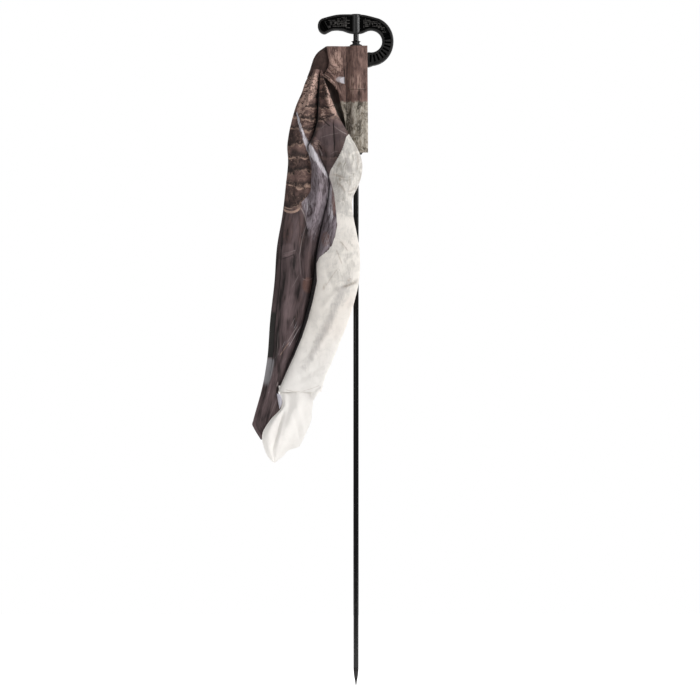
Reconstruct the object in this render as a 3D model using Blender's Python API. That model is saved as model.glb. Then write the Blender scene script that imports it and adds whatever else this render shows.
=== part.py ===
"""Hand-held motion wing decoy: a cloth wing on a tube that swings round a pointed pole with a hooked handle.

Frame: +Z up along the pole, origin at the point of the ground spike, wing towards -X, printed face towards -Y.
Lengths are millimetres until a mesh is made.
"""

import math

import bmesh
import bpy

MM = 0.001

# Driving dimensions
OVERALL_HEIGHT = 1200.0
POLE_RADIUS = 4.76
POLE_WALL = 1.2
SPIKE_HEIGHT = 33.0
SLEEVE_TOP = 1143.0
SLEEVE_LENGTH = 191.0
TUBE_RADIUS = 11.0
TUBE_WALL = 1.5
CLOTH = 1.0
GAP = 0.3
RUNNING_CLEARANCE = 0.1

SLEEVE_BOTTOM = SLEEVE_TOP - SLEEVE_LENGTH
TUBE_BORE = TUBE_RADIUS - TUBE_WALL
RUNNING_RADIUS = POLE_RADIUS + RUNNING_CLEARANCE
HOIST_X = -19.4
SEAM_X = -14.6

# Handle
HANDLE_HALF_DEPTH = 8.2
BOSS_RADIUS = 9.2
BOSS_BOTTOM = 1165.2
SOCKET_TOP = 1191.0
HOOK_CENTRE = (26.8, 1151.2)
HOOK_INNER_RADIUS = 19.8
HOOK_OUTER_RADII = (40.2, 43.2)
RIM_DEPTH = 1.3
SLOT_DEPTH = 4.0
PIN_HEIGHT = 1179.0
PIN_RADIUS = 1.5

# Wing joints, as (x, z)
LIFT_PIVOT = (-54.0, 1104.0)
TIP_PIVOT = (-72.0, 889.0)


def clear_scene():
    for old in list(bpy.data.objects):
        bpy.data.objects.remove(old)


def material(name, colour, roughness, metallic=0.0):
    """A Principled material with one plain finish."""
    made = bpy.data.materials.new(name)
    made.use_nodes = True
    shader = made.node_tree.nodes["Principled BSDF"]
    shader.inputs["Base Color"].default_value = (*colour, 1.0)
    shader.inputs["Roughness"].default_value = roughness
    shader.inputs["Metallic"].default_value = metallic
    return made


# Geometry helpers


def add_object(name, points, faces, finish, smooth_angle=None):
    """A mesh object from points in millimetres, with its normals made to face out."""
    mesh = bpy.data.meshes.new(name)
    mesh.from_pydata([[c * MM for c in point] for point in points], [], faces)
    working = bmesh.new()
    working.from_mesh(mesh)
    bmesh.ops.recalc_face_normals(working, faces=working.faces)
    working.to_mesh(mesh)
    working.free()
    if smooth_angle:
        mesh.shade_smooth()
        mesh.set_sharp_from_angle(angle=math.radians(smooth_angle))
    made = bpy.data.objects.new(name, mesh)
    if finish:
        made.data.materials.append(finish)
    bpy.context.scene.collection.objects.link(made)
    return made


def hide_cutter(made):
    made.hide_render = True
    made.display_type = "WIRE"
    return made


def boolean(target, cutter, operation):
    """Adds an exact Boolean of a helper object, which is left out of the part."""
    modifier = target.modifiers.new(operation.lower(), "BOOLEAN")
    modifier.operation = operation
    modifier.solver = "EXACT"
    modifier.object = hide_cutter(cutter)


def prism(name, outline, front, back, finish=None):
    """A solid with an (x, z) outline, between two depths along Y."""
    count = len(outline)
    points = [(x, front, z) for x, z in outline] + [(x, back, z) for x, z in outline]
    sides = [(i, (i + 1) % count, (i + 1) % count + count, i + count) for i in range(count)]
    caps = [tuple(range(count)), tuple(range(2 * count - 1, count - 1, -1))]
    return add_object(name, points, sides + caps, finish)


def column(name, plan, bottom, top, finish=None):
    """A solid with an (x, y) plan, between two heights."""
    count = len(plan)
    points = [(x, y, bottom) for x, y in plan] + [(x, y, top) for x, y in plan]
    sides = [(i, (i + 1) % count, (i + 1) % count + count, i + count) for i in range(count)]
    caps = [tuple(range(count)), tuple(range(2 * count - 1, count - 1, -1))]
    return add_object(name, points, sides + caps, finish)


def ring(name, outer_plan, inner_plan, outer_heights, inner_heights, finish):
    """A solid between two plans of as many (x, y) points, each plan with its own bottom and top height."""
    count = len(outer_plan)
    points = [(x, y, z) for z in outer_heights for x, y in outer_plan]
    points += [(x, y, z) for z in inner_heights for x, y in inner_plan]
    outer_bottom, outer_top, inner_bottom, inner_top = (count * k for k in range(4))
    strips = [
        (outer_bottom, outer_top),
        (outer_top, inner_top),
        (inner_top, inner_bottom),
        (inner_bottom, outer_bottom),
    ]
    faces = []
    for first, second in strips:
        for i in range(count):
            j = (i + 1) % count
            faces.append((first + i, first + j, second + j, second + i))
    return add_object(name, points, faces, finish)


def turned(name, profile, finish, segments=32):
    """A solid turned round the pole's axis from a closed (radius, z) profile, or one that ends on the axis."""
    rings = []
    points = []
    for radius, z in profile:
        if radius == 0.0:
            points.append((0.0, 0.0, z))
            rings.append([len(points) - 1] * segments)
            continue
        start = len(points)
        for step in range(segments):
            angle = 2 * math.pi * step / segments
            points.append((radius * math.cos(angle), radius * math.sin(angle), z))
        rings.append(list(range(start, start + segments)))
    closed = profile[0][0] > 0.0
    pairs = list(zip(rings, rings[1:]))
    if closed:
        pairs.append((rings[-1], rings[0]))
    faces = []
    for lower, upper in pairs:
        for step in range(segments):
            following = (step + 1) % segments
            corners = (lower[step], lower[following], upper[following], upper[step])
            faces.append(tuple(dict.fromkeys(corners)))
    return add_object(name, points, faces, finish, smooth_angle=35)


def arc(centre, radii, start, end, steps):
    """Points on an ellipse's arc, from one angle to another in degrees."""
    found = []
    for step in range(steps + 1):
        angle = math.radians(start + (end - start) * step / steps)
        found.append((centre[0] + radii[0] * math.cos(angle), centre[1] + radii[1] * math.sin(angle)))
    return found


def spline(points, per_span, closed=False):
    """A Catmull-Rom curve through points of any dimension."""
    count = len(points)
    spans = count if closed else count - 1
    found = []
    for span in range(spans):
        if closed:
            near = [points[(span + k) % count] for k in (-1, 0, 1, 2)]
        else:
            near = [points[min(max(span + k, 0), count - 1)] for k in (-1, 0, 1, 2)]
        for step in range(per_span):
            t = step / per_span
            found.append(tuple(catmull_rom(a, b, c, d, t) for a, b, c, d in zip(*near)))
    if not closed:
        found.append(tuple(points[-1]))
    return found


def catmull_rom(a, b, c, d, t):
    return 0.5 * (2 * b + (c - a) * t + (2 * a - 5 * b + 4 * c - d) * t**2 + (3 * b - a - 3 * c + d) * t**3)


def line_at(line, z):
    """Reads x at a height, from a line of (z, x) points that runs downwards."""
    for (z0, x0), (z1, x1) in zip(line, line[1:]):
        if z >= z1:
            return x0 + (x1 - x0) * (z0 - min(z, z0)) / (z0 - z1)
    return line[-1][1]


# Handle


def handle_outline():
    """The moulding's face: a crowned grip, a hook on the right and a finger scallop on the left."""
    crown = spline([(-56.5, 1193.2), (-34.0, 1198.6), (-9.0, 1199.4), (14.0, 1198.4), (35.0, 1193.4)], 4)
    hook = arc(HOOK_CENTRE, HOOK_OUTER_RADII, 70, -84, 24)
    tip = spline([(24.0, 1105.7), (18.5, 1105.6), (15.2, 1110.5), (15.0, 1120.0), (17.0, 1128.0)], 3)
    hole = arc(HOOK_CENTRE, (HOOK_INNER_RADIUS, HOOK_INNER_RADIUS), -104, 108, 24)
    under_boss = spline([(13.4, 1166.8), (7.0, 1165.2), (-7.0, 1165.2), (-15.5, 1167.2)], 3)
    scallop = spline([(-24.0, 1170.2), (-33.5, 1171.2), (-43.0, 1170.3), (-50.0, 1167.0)], 4)
    end = arc((-56.0, 1178.6), (12.3, 14.3), -84, -261, 14)
    return crown + hook + tip + hole + under_boss + scallop + end


def inset(outline, distance_at):
    """Moves each point of a counter-clockwise or clockwise outline inwards by its own distance."""
    count = len(outline)
    area = sum(
        outline[i][0] * outline[(i + 1) % count][1] - outline[(i + 1) % count][0] * outline[i][1]
        for i in range(count)
    )
    turn = 1.0 if area > 0 else -1.0
    moved = []
    for i, (x, z) in enumerate(outline):
        before, after = outline[i - 1], outline[(i + 1) % count]
        along = (after[0] - before[0], after[1] - before[1])
        length = math.hypot(*along)
        distance = distance_at(x)
        moved.append((x - turn * along[1] / length * distance, z + turn * along[0] / length * distance))
    return moved


def rim_width(x):
    """The smooth rim is wider round the hook than along the grip."""
    return 3.2 + 1.2 * min(max((x - 30.0) / 15.0, 0.0), 1.0)


def slot_outline(centre, angle, near, far, width):
    """A straight slot that points away from a centre."""
    across = (-math.sin(angle), math.cos(angle))
    along = (math.cos(angle), math.sin(angle))
    corners = ((near, -0.5), (far, -0.5), (far, 0.5), (near, 0.5))
    return [
        (
            centre[0] + along[0] * reach + across[0] * width * side,
            centre[1] + along[1] * reach + across[1] * width * side,
        )
        for reach, side in corners
    ]


def handle_slots():
    """Outlines of the slots that leave ribs across the hook and across the grip's end."""
    hook = [
        slot_outline(HOOK_CENTRE, math.radians(22 - 9 * k), 24.4, 35.4 + 0.12 * k, 1.9)
        for k in range(14)
    ]
    end = [slot_outline((-58.0 + 4.2 * k, 1179.5), math.radians(118), -8.0, 8.0, 1.6) for k in range(3)]
    return hook + end


def make_handle(nylon):
    outline = handle_outline()
    handle = prism("handle", outline, -HANDLE_HALF_DEPTH, HANDLE_HALF_DEPTH, nylon)
    bevel = handle.modifiers.new("rounded_edges", "BEVEL")
    bevel.width = 2.0 * MM
    bevel.segments = 2
    bevel.limit_method = "ANGLE"
    bevel.angle_limit = math.radians(50)

    field = inset(outline, rim_width)
    floor = HANDLE_HALF_DEPTH - RIM_DEPTH
    slot_floor = HANDLE_HALF_DEPTH - SLOT_DEPTH
    outside = HANDLE_HALF_DEPTH + 2
    for face, side in (("front", -1), ("back", 1)):
        depths = sorted((side * floor, side * outside))
        boolean(handle, prism(f"cut_field_{face}", field, *depths), "DIFFERENCE")
        slot_depths = sorted((side * slot_floor, side * outside))
        for number, outline_of_slot in enumerate(handle_slots()):
            boolean(handle, prism(f"cut_slot_{face}_{number}", outline_of_slot, *slot_depths), "DIFFERENCE")

    chamfer = 0.8
    boss_profile = [
        (0.0, BOSS_BOTTOM),
        (BOSS_RADIUS - chamfer, BOSS_BOTTOM),
        (BOSS_RADIUS, BOSS_BOTTOM + chamfer),
        (BOSS_RADIUS, OVERALL_HEIGHT - chamfer),
        (BOSS_RADIUS - chamfer, OVERALL_HEIGHT),
        (0.0, OVERALL_HEIGHT),
    ]
    boolean(handle, turned("add_boss", boss_profile, None), "UNION")
    socket_profile = [
        (0.0, BOSS_BOTTOM - 5),
        (POLE_RADIUS + GAP, BOSS_BOTTOM - 5),
        (POLE_RADIUS + GAP, SOCKET_TOP),
        (0.0, SOCKET_TOP),
    ]
    boolean(handle, turned("cut_socket", socket_profile, None), "DIFFERENCE")
    boolean(handle, pin_cutter("cut_handle_pin"), "DIFFERENCE")
    return handle


def pin_plan(radius, segments=16):
    return arc((0.0, PIN_HEIGHT), (radius, radius), 0, 360 - 360 / segments, segments - 1)


def pin_cutter(name):
    """A drilling from the back of the boss, through the pole, that stops short of the front."""
    return prism(name, pin_plan(PIN_RADIUS + GAP), -6.6, BOSS_RADIUS + 3)


def make_pin(steel):
    """The slotted spring pin that locks the pole in the handle."""
    outer = arc((0.0, PIN_HEIGHT), (PIN_RADIUS, PIN_RADIUS), 110, 430, 16)
    inner = arc((0.0, PIN_HEIGHT), (PIN_RADIUS - 0.5, PIN_RADIUS - 0.5), 430, 110, 16)
    return prism("handle_spring_pin", outer + inner, -6.2, BOSS_RADIUS - 0.6, steel)


# Stake


def make_pole(coated):
    bore = POLE_RADIUS - POLE_WALL
    top = SOCKET_TOP - GAP
    profile = [(bore, SPIKE_HEIGHT), (POLE_RADIUS, SPIKE_HEIGHT), (POLE_RADIUS, top), (bore, top)]
    pole = turned("pole", profile, coated)
    boolean(pole, pin_cutter("cut_pole_pin"), "DIFFERENCE")
    return pole


def make_spike(steel):
    """The bare steel point, with a spigot that plugs the end of the pole."""
    shoulder = SPIKE_HEIGHT - GAP
    spigot = POLE_RADIUS - POLE_WALL - GAP
    profile = [
        (0.0, 0.0),
        (0.9, 0.0),
        (1.2, 8.0),
        (1.7, 13.0),
        (2.9, 20.5),
        (POLE_RADIUS, shoulder - 1.5),
        (POLE_RADIUS, shoulder),
        (spigot, shoulder),
        (spigot, shoulder + 24),
        (spigot - 0.8, shoulder + 25),
        (0.0, shoulder + 25),
    ]
    return turned("ground_spike", profile, steel)


def make_push_nut(name, base, steel):
    """A dished push-on washer whose teeth grip the pole."""
    teeth = 6
    rise = 0.9
    bore = []
    for tooth in range(teeth):
        start = 360 / teeth * tooth
        bore += arc((0, 0), (6.6, 6.6), start, start + 10, 1)
        bore += arc((0, 0), (POLE_RADIUS + GAP, POLE_RADIUS + GAP), start + 14, start + 56, 3)
    rim = arc((0, 0), (8.2, 8.2), 0, 360 - 360 / len(bore), len(bore) - 1)
    return ring(name, rim, bore, (base, base + 0.6), (base + rise, base + rise + 0.6), steel)


def make_thrust_washer(name, base, nylon):
    profile = [(RUNNING_RADIUS, base), (7.0, base), (7.0, base + 0.9), (RUNNING_RADIUS, base + 0.9)]
    return turned(name, profile, nylon)


# Swinging sleeve


def make_tube(plastic):
    profile = [
        (TUBE_BORE, SLEEVE_BOTTOM),
        (TUBE_RADIUS, SLEEVE_BOTTOM),
        (TUBE_RADIUS, SLEEVE_TOP),
        (TUBE_BORE, SLEEVE_TOP),
    ]
    return turned("sleeve_tube", profile, plastic)


def make_bushing(name, tube_end, outwards, plastic):
    """A flanged bushing: a plug in the tube, a flange over its end and a conical neck that runs on a washer."""
    plug = TUBE_BORE - GAP
    steps = [
        (RUNNING_RADIUS, -14.0),
        (plug - 0.8, -14.0),
        (plug, -13.0),
        (plug, GAP),
        (TUBE_RADIUS, GAP),
        (TUBE_RADIUS, 1.8),
        (8.6, 3.0),
        (6.4, 4.6),
        (6.4, 6.4),
        (RUNNING_RADIUS, 6.4),
    ]
    profile = [(radius, tube_end + outwards * step) for radius, step in steps]
    return turned(name, profile, plastic)


def make_pocket(cloth):
    """The cloth pocket round the tube, sewn flat along its left side."""
    inner = TUBE_RADIUS + GAP
    outer = inner + CLOTH
    seam_half = 0.9
    outside = [(HOIST_X, seam_half), (SEAM_X, seam_half)]
    outside += arc((0, 0), (outer, outer), 156, -156, 24)
    outside += [(SEAM_X, -seam_half), (HOIST_X, -seam_half)]
    inside = arc((0, 0), (inner, inner), 176, -176, len(outside) - 1)
    heights = (SLEEVE_BOTTOM + 0.2, SLEEVE_TOP - 0.2)
    return ring("sleeve_pocket", outside, inside, heights, heights, cloth)


def make_pocket_fold(cloth):
    """The pocket's loose fold, which lies in front of the tube and of the hook's tip."""
    front = -TUBE_RADIUS - CLOTH - 2 * GAP
    plan = [(2.0, front - 1.2), (13.0, front - 1.0), (20.9, front + 0.6), (20.9, front + 1.6), (13.0, front + 0.1)]
    plan += [(2.0, front - 0.2)]
    return column("pocket_fold", plan, SLEEVE_BOTTOM + 0.4, SLEEVE_TOP - 0.4, cloth)


def make_gusset(cloth):
    """The doubled cloth that joins the pocket to the shoulder of the wing."""
    outline = [
        (HOIST_X - GAP, SLEEVE_TOP),
        (-51.6, SLEEVE_TOP),
        (-47.0, 1119.0),
        (-60.5, 1096.0),
        (-45.0, 1078.0),
        (-34.0, 1046.0),
        (-26.0, 1000.0),
        (-24.5, SLEEVE_BOTTOM),
        (HOIST_X - GAP, SLEEVE_BOTTOM),
    ]
    return prism("root_gusset", outline, -0.8, 0.8, cloth)


def make_batten(plastic):
    """The flat stiffener behind the gusset that keeps the wing's top edge straight."""
    outline = [(-16.0, 1141.5), (-49.5, 1141.5), (-72.0, 1126.5), (-67.5, 1119.5), (-46.5, 1132.5), (-16.0, 1132.5)]
    return prism("shoulder_batten", outline, 1.2, 2.6, plastic)


def make_top_hem(cloth):
    """The hem that is folded back over the batten."""
    outline = [(-15.5, SLEEVE_TOP), (-52.0, SLEEVE_TOP), (-74.5, 1127.5), (-68.0, 1117.0), (-46.0, 1130.5)]
    outline += [(-15.5, 1130.5)]
    return prism("top_hem", outline, 3.0, 4.0, cloth)


def make_shoulder_cloth(cloth):
    """The plain cloth that hangs from the batten behind the gusset."""
    outline = [(-48.5, 1130.0), (-68.5, 1116.5), (-82.5, 1100.0), (-84.5, 1090.0), (-62.0, 1090.0), (-47.0, 1108.0)]
    return prism("shoulder_cloth", outline, 1.2, 2.2, cloth)


def make_hoist_binding(cloth):
    """The tape sewn over the join between pocket and gusset."""
    plan = [(HOIST_X + GAP, -2.2), (SEAM_X - GAP, -2.2), (SEAM_X - GAP, -1.2), (HOIST_X + GAP, -1.2)]
    return column("hoist_binding", plan, SLEEVE_BOTTOM + 0.2, SLEEVE_TOP - 0.2, cloth)


# Wing cloth

LEADING_EDGE = [(1092.0, -86.0), (1036.0, -107.0), (983.0, -120.0), (904.0, -123.0), (815.0, -136.0)]
LEADING_EDGE += [(743.0, -143.0), (618.0, -156.0), (547.0, -164.0), (468.0, -184.0)]
MIDDLE_SEAM = [(1092.0, -50.0), (1046.0, -34.0), (1000.0, -22.0), (960.0, -28.0), (904.0, -44.0), (833.0, -38.0)]
MIDDLE_SEAM += [(779.0, -50.0), (743.0, -67.0), (651.0, -90.0), (575.0, -114.0), (524.0, -138.0)]
TRAILING_EDGE = [(1004.0, -19.0), (972.0, -4.0), (949.0, 6.0), (930.0, 10.5), (897.0, 5.0), (868.0, -9.0)]
TRAILING_EDGE += [(840.0, -7.0), (795.0, 5.0), (748.0, 6.5), (702.0, 2.0), (659.0, -12.0), (612.0, -28.0)]
TRAILING_EDGE += [(532.0, -61.0)]
HEM_WIDTH = 5.0
LAYER_STEP = 10.0


def cloth_depth(x, layer):
    """How far in front of the pole's axis the cloth hangs: it swells towards the trailing edge to clear the sleeve."""
    share = min(max((x + 125.0) / 110.0, 0.0), 1.0)
    pleats = 1.6 * math.cos(0.16 * x)
    return -6.5 - 12.5 * share * share * (3 - 2 * share) + pleats - LAYER_STEP * layer


def draped_panel(name, left, right, top, bottom, layer, cloth, columns=10, row_height=30.0):
    """A thin pleated panel between two edge lines, as one closed solid."""
    rows = max(2, round((top - bottom) / row_height))
    grid = []
    for row in range(rows + 1):
        z = top + (bottom - top) * row / rows
        x0, x1 = left(z), right(z)
        for col in range(columns + 1):
            x = x0 + (x1 - x0) * col / columns
            grid.append((x, cloth_depth(x, layer), z))
    half = CLOTH * 0.75
    count = len(grid)
    points = [(x, y - half, z) for x, y, z in grid] + [(x, y + half, z) for x, y, z in grid]
    width = columns + 1
    faces = []
    for row in range(rows):
        for col in range(columns):
            a = row * width + col
            quad = (a, a + 1, a + 1 + width, a + width)
            faces.append(quad)
            faces.append(tuple(i + count for i in reversed(quad)))
    border = list(range(width))
    border += [row * width + columns for row in range(1, rows + 1)]
    border += [rows * width + col for col in range(columns - 1, -1, -1)]
    border += [row * width for row in range(rows - 1, 0, -1)]
    for a, b in zip(border, border[1:] + border[:1]):
        faces.append((a, b, b + count, a + count))
    return add_object(name, points, faces, cloth, smooth_angle=40)


def edge(line, offset=0.0):
    """A function of height that reads a line, moved sideways by an offset."""
    return lambda z: line_at(line, z) + offset


def make_wing_half(part, top, bottom, layer, brown, white, tape):
    """The cloths of one body of the wing: hems, brown panel, middle seam and pale panel."""
    join = GAP + 0.1
    belly_top = min(top, 1004.0)
    draped_panel(
        f"leading_hem_{part}", edge(LEADING_EDGE), edge(LEADING_EDGE, HEM_WIDTH), top, bottom, layer, tape, columns=1
    )
    draped_panel(
        f"wing_panel_{part}",
        edge(LEADING_EDGE, HEM_WIDTH + join),
        edge(MIDDLE_SEAM, -join),
        top,
        bottom,
        layer,
        brown,
    )
    draped_panel(
        f"middle_seam_{part}", edge(MIDDLE_SEAM), edge(MIDDLE_SEAM, 2.6), belly_top, bottom, layer, tape, columns=1
    )
    draped_panel(
        f"belly_panel_{part}",
        edge(MIDDLE_SEAM, 2.6 + join),
        edge(TRAILING_EDGE, -HEM_WIDTH - join),
        belly_top - 24.0 if part == "inner" else belly_top,
        bottom,
        layer,
        white,
        columns=6,
    )
    draped_panel(
        f"trailing_hem_{part}",
        edge(TRAILING_EDGE, -HEM_WIDTH),
        edge(TRAILING_EDGE),
        belly_top - 24.0 if part == "inner" else belly_top,
        bottom,
        layer,
        tape,
        columns=1,
    )


def flat_piece(name, outline, layer, cloth):
    """A flat end piece of the wing, at its layer's mean depth."""
    middle = sum(x for x, _ in outline) / len(outline)
    depth = cloth_depth(middle, layer)
    return prism(name, outline, depth - CLOTH * 0.75, depth + CLOTH * 0.75, cloth)


def make_wing(brown, white, tape):
    lap = 30.0
    outer_bottom = 541.0
    make_wing_half("inner", 1092.0, TIP_PIVOT[1] - lap, 0, brown, white, tape)
    make_wing_half("outer", TIP_PIVOT[1] + lap, outer_bottom, 1, brown, white, tape)
    below = outer_bottom - GAP
    wing_tip = [
        (line_at(LEADING_EDGE, below), below),
        (-185.0, 467.0),
        (-167.0, 439.0),
        (-165.0, 458.0),
        (-149.0, 482.0),
        (-136.5, 493.0),
        (-131.0, below),
    ]
    flat_piece("wing_tip", wing_tip, 1, brown)
    tail = [
        (-129.0, below),
        (-133.5, 490.0),
        (-146.0, 480.0),
        (-162.0, 455.0),
        (-163.5, 425.0),
        (-153.0, 401.5),
        (-147.0, 399.0),
        (-128.5, 413.0),
        (-116.0, 424.0),
        (-100.0, 428.5),
        (-84.0, 462.0),
        (-78.0, 500.0),
        (-62.0, below - 8.0),
        (-60.0, below),
    ]
    flat_piece("tail_panel", tail, 1, white)


def group(name, location, members):
    """Puts pieces under an empty on their joint's axis, without moving them."""
    parent = bpy.data.objects.new(name, None)
    parent.location = [c * MM for c in location]
    bpy.context.scene.collection.objects.link(parent)
    for member in members:
        made = bpy.data.objects[member]
        made.parent = parent
        made.matrix_parent_inverse.translation = [-c * MM for c in location]
    return parent


def main():
    clear_scene()
    nylon = material("black_nylon", (0.012, 0.012, 0.013), 0.45)
    coated = material("coated_steel", (0.01, 0.01, 0.012), 0.3)
    steel = material("bare_steel", (0.3, 0.28, 0.27), 0.4, 1.0)
    dark_steel = material("blackened_steel", (0.03, 0.03, 0.032), 0.35, 1.0)
    natural = material("natural_nylon", (0.72, 0.71, 0.66), 0.5)
    plastic = material("black_acetal", (0.015, 0.015, 0.016), 0.4)
    tube_plastic = material("grey_tube", (0.35, 0.35, 0.34), 0.5)
    brown = material("brown_print", (0.09, 0.06, 0.05), 0.85)
    white = material("belly_print", (0.72, 0.69, 0.64), 0.85)
    tape = material("binding_tape", (0.07, 0.05, 0.045), 0.9)

    make_handle(nylon)
    make_pin(steel)
    make_pole(coated)
    make_spike(steel)
    make_thrust_washer("upper_thrust_washer", SLEEVE_TOP + 6.7, natural)
    make_push_nut("upper_push_nut", SLEEVE_TOP + 7.9, dark_steel)
    make_thrust_washer("lower_thrust_washer", SLEEVE_BOTTOM - 7.6, natural)
    make_push_nut("lower_push_nut", SLEEVE_BOTTOM - 9.4, dark_steel)

    make_tube(tube_plastic)
    make_bushing("upper_bushing", SLEEVE_TOP, 1, plastic)
    make_bushing("lower_bushing", SLEEVE_BOTTOM, -1, plastic)
    make_pocket(brown)
    make_pocket_fold(brown)
    make_gusset(brown)
    make_batten(natural)
    make_top_hem(brown)
    make_shoulder_cloth(brown)
    make_hoist_binding(tape)
    make_wing(brown, white, tape)

    group(
        "sleeve_axis",
        (0.0, 0.0, SLEEVE_BOTTOM),
        ["sleeve_tube", "upper_bushing", "lower_bushing", "sleeve_pocket", "pocket_fold", "root_gusset"]
        + ["shoulder_batten", "top_hem", "shoulder_cloth", "hoist_binding"],
    )
    cloths = ("leading_hem", "wing_panel", "middle_seam", "belly_panel", "trailing_hem")
    group("lift_axis", (LIFT_PIVOT[0], 0.0, LIFT_PIVOT[1]), [f"{cloth}_inner" for cloth in cloths])
    outer = [f"{cloth}_outer" for cloth in cloths] + ["wing_tip", "tail_panel"]
    group("tip_axis", (TIP_PIVOT[0], 0.0, TIP_PIVOT[1]), outer)


main()
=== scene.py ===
"""The looks of the motion wing decoy: a limp printed cloth wing on a pointed stake with a hooked grip.

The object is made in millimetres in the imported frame's own space: +Z up the pole, the wing towards -X, the
printed face towards -Y. The cloth's fold lines give drops below the top of the sleeve.
"""

import math
import random

import bmesh
import bpy
import numpy as np
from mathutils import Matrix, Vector, noise


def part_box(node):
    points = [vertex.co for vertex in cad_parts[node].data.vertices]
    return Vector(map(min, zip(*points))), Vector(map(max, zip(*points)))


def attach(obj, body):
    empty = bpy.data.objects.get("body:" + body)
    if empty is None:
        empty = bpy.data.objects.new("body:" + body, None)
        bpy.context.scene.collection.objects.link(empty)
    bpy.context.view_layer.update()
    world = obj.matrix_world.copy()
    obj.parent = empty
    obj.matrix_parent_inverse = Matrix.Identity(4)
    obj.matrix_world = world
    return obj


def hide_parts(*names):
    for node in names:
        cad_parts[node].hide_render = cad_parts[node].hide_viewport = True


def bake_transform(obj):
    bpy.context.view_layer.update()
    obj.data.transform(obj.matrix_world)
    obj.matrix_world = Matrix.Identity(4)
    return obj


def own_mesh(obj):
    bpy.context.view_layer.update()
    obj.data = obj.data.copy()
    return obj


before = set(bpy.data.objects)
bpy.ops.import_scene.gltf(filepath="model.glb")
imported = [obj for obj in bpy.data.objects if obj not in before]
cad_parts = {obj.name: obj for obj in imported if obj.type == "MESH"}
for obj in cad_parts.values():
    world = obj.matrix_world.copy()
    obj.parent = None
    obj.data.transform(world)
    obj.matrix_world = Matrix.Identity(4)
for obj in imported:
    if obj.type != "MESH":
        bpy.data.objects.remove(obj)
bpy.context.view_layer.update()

MM = 0.001

# Sizes read from the frame, in millimetres
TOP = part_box("handle")[1].z / MM
BOSS_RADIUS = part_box("handle")[1].y / MM
POLE_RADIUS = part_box("pole")[1].x / MM
SPIKE_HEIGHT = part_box("pole")[0].z / MM
SLEEVE_BOTTOM, SLEEVE_TOP = (corner.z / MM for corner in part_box("sleeve_tube"))
TUBE_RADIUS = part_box("sleeve_tube")[1].x / MM
SLEEVE_LENGTH = SLEEVE_TOP - SLEEVE_BOTTOM
POCKET_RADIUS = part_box("sleeve_pocket")[1].x / MM
FOLD_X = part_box("pocket_fold")[1].x / MM
PIN_HEIGHT = (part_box("handle_spring_pin")[0].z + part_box("handle_spring_pin")[1].z) / 2 / MM

# Handle
HALF_DEPTH = BOSS_RADIUS - 1.0
# How deep the grip's fields and slots are
RECESS = 1.3
SLOT_DEPTH = 4.0
BOSS_BOTTOM = TOP - 34.8
HOOK_CENTRE = (26.8, TOP - 48.8)
HOOK_INNER_RADIUS = 19.8
HOOK_OUTER_RADII = (40.2, 43.2)

# Cloth
ROW_STEP = 1.6
LANE_STEPS = 14
CLOTH_THICKNESS = 0.6
HOIST_X = -17.0
PRINT_CHANGE = 100.0
SPLIT_DROP = 160.0


# Node arithmetic


class Field:
    """A socket that takes part in arithmetic, so that a pattern reads as a formula."""

    def __init__(self, tree, socket):
        self.tree = tree
        self.socket = socket

    def node(self, kind, **settings):
        made = self.tree.nodes.new(kind)
        for key, value in settings.items():
            setattr(made, key, value)
        return made

    def feed(self, node, index, value):
        if isinstance(value, Field):
            self.tree.links.new(value.socket, node.inputs[index])
        else:
            node.inputs[index].default_value = value

    def maths(self, operation, *others):
        node = self.node("ShaderNodeMath", operation=operation)
        for index, value in enumerate((self, *others)):
            self.feed(node, index, value)
        return Field(self.tree, node.outputs[0])

    def __add__(self, other):
        return self.maths("ADD", other)

    __radd__ = __add__

    def __sub__(self, other):
        return self.maths("SUBTRACT", other)

    def __rsub__(self, other):
        return self.maths("MULTIPLY", -1.0).maths("ADD", other)

    def __mul__(self, other):
        return self.maths("MULTIPLY", other)

    __rmul__ = __mul__

    def floor(self):
        return self.maths("FLOOR")

    def fract(self):
        return self.maths("FRACT")

    def sine(self):
        return self.maths("SINE")

    def absolute(self):
        return self.maths("ABSOLUTE")

    def below(self, other):
        return self.maths("LESS_THAN", other)

    def larger(self, other):
        return self.maths("MAXIMUM", other)

    def ramp(self, low, high):
        """0 below low, 1 above high, smooth between; low may be the larger, which turns it round."""
        node = self.node("ShaderNodeMapRange", interpolation_type="SMOOTHSTEP")
        self.feed(node, 0, self)
        start, end = (0.0, 1.0) if low < high else (1.0, 0.0)
        for index, value in enumerate((min(low, high), max(low, high), start, end), 1):
            node.inputs[index].default_value = value
        return Field(self.tree, node.outputs[0])


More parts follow.
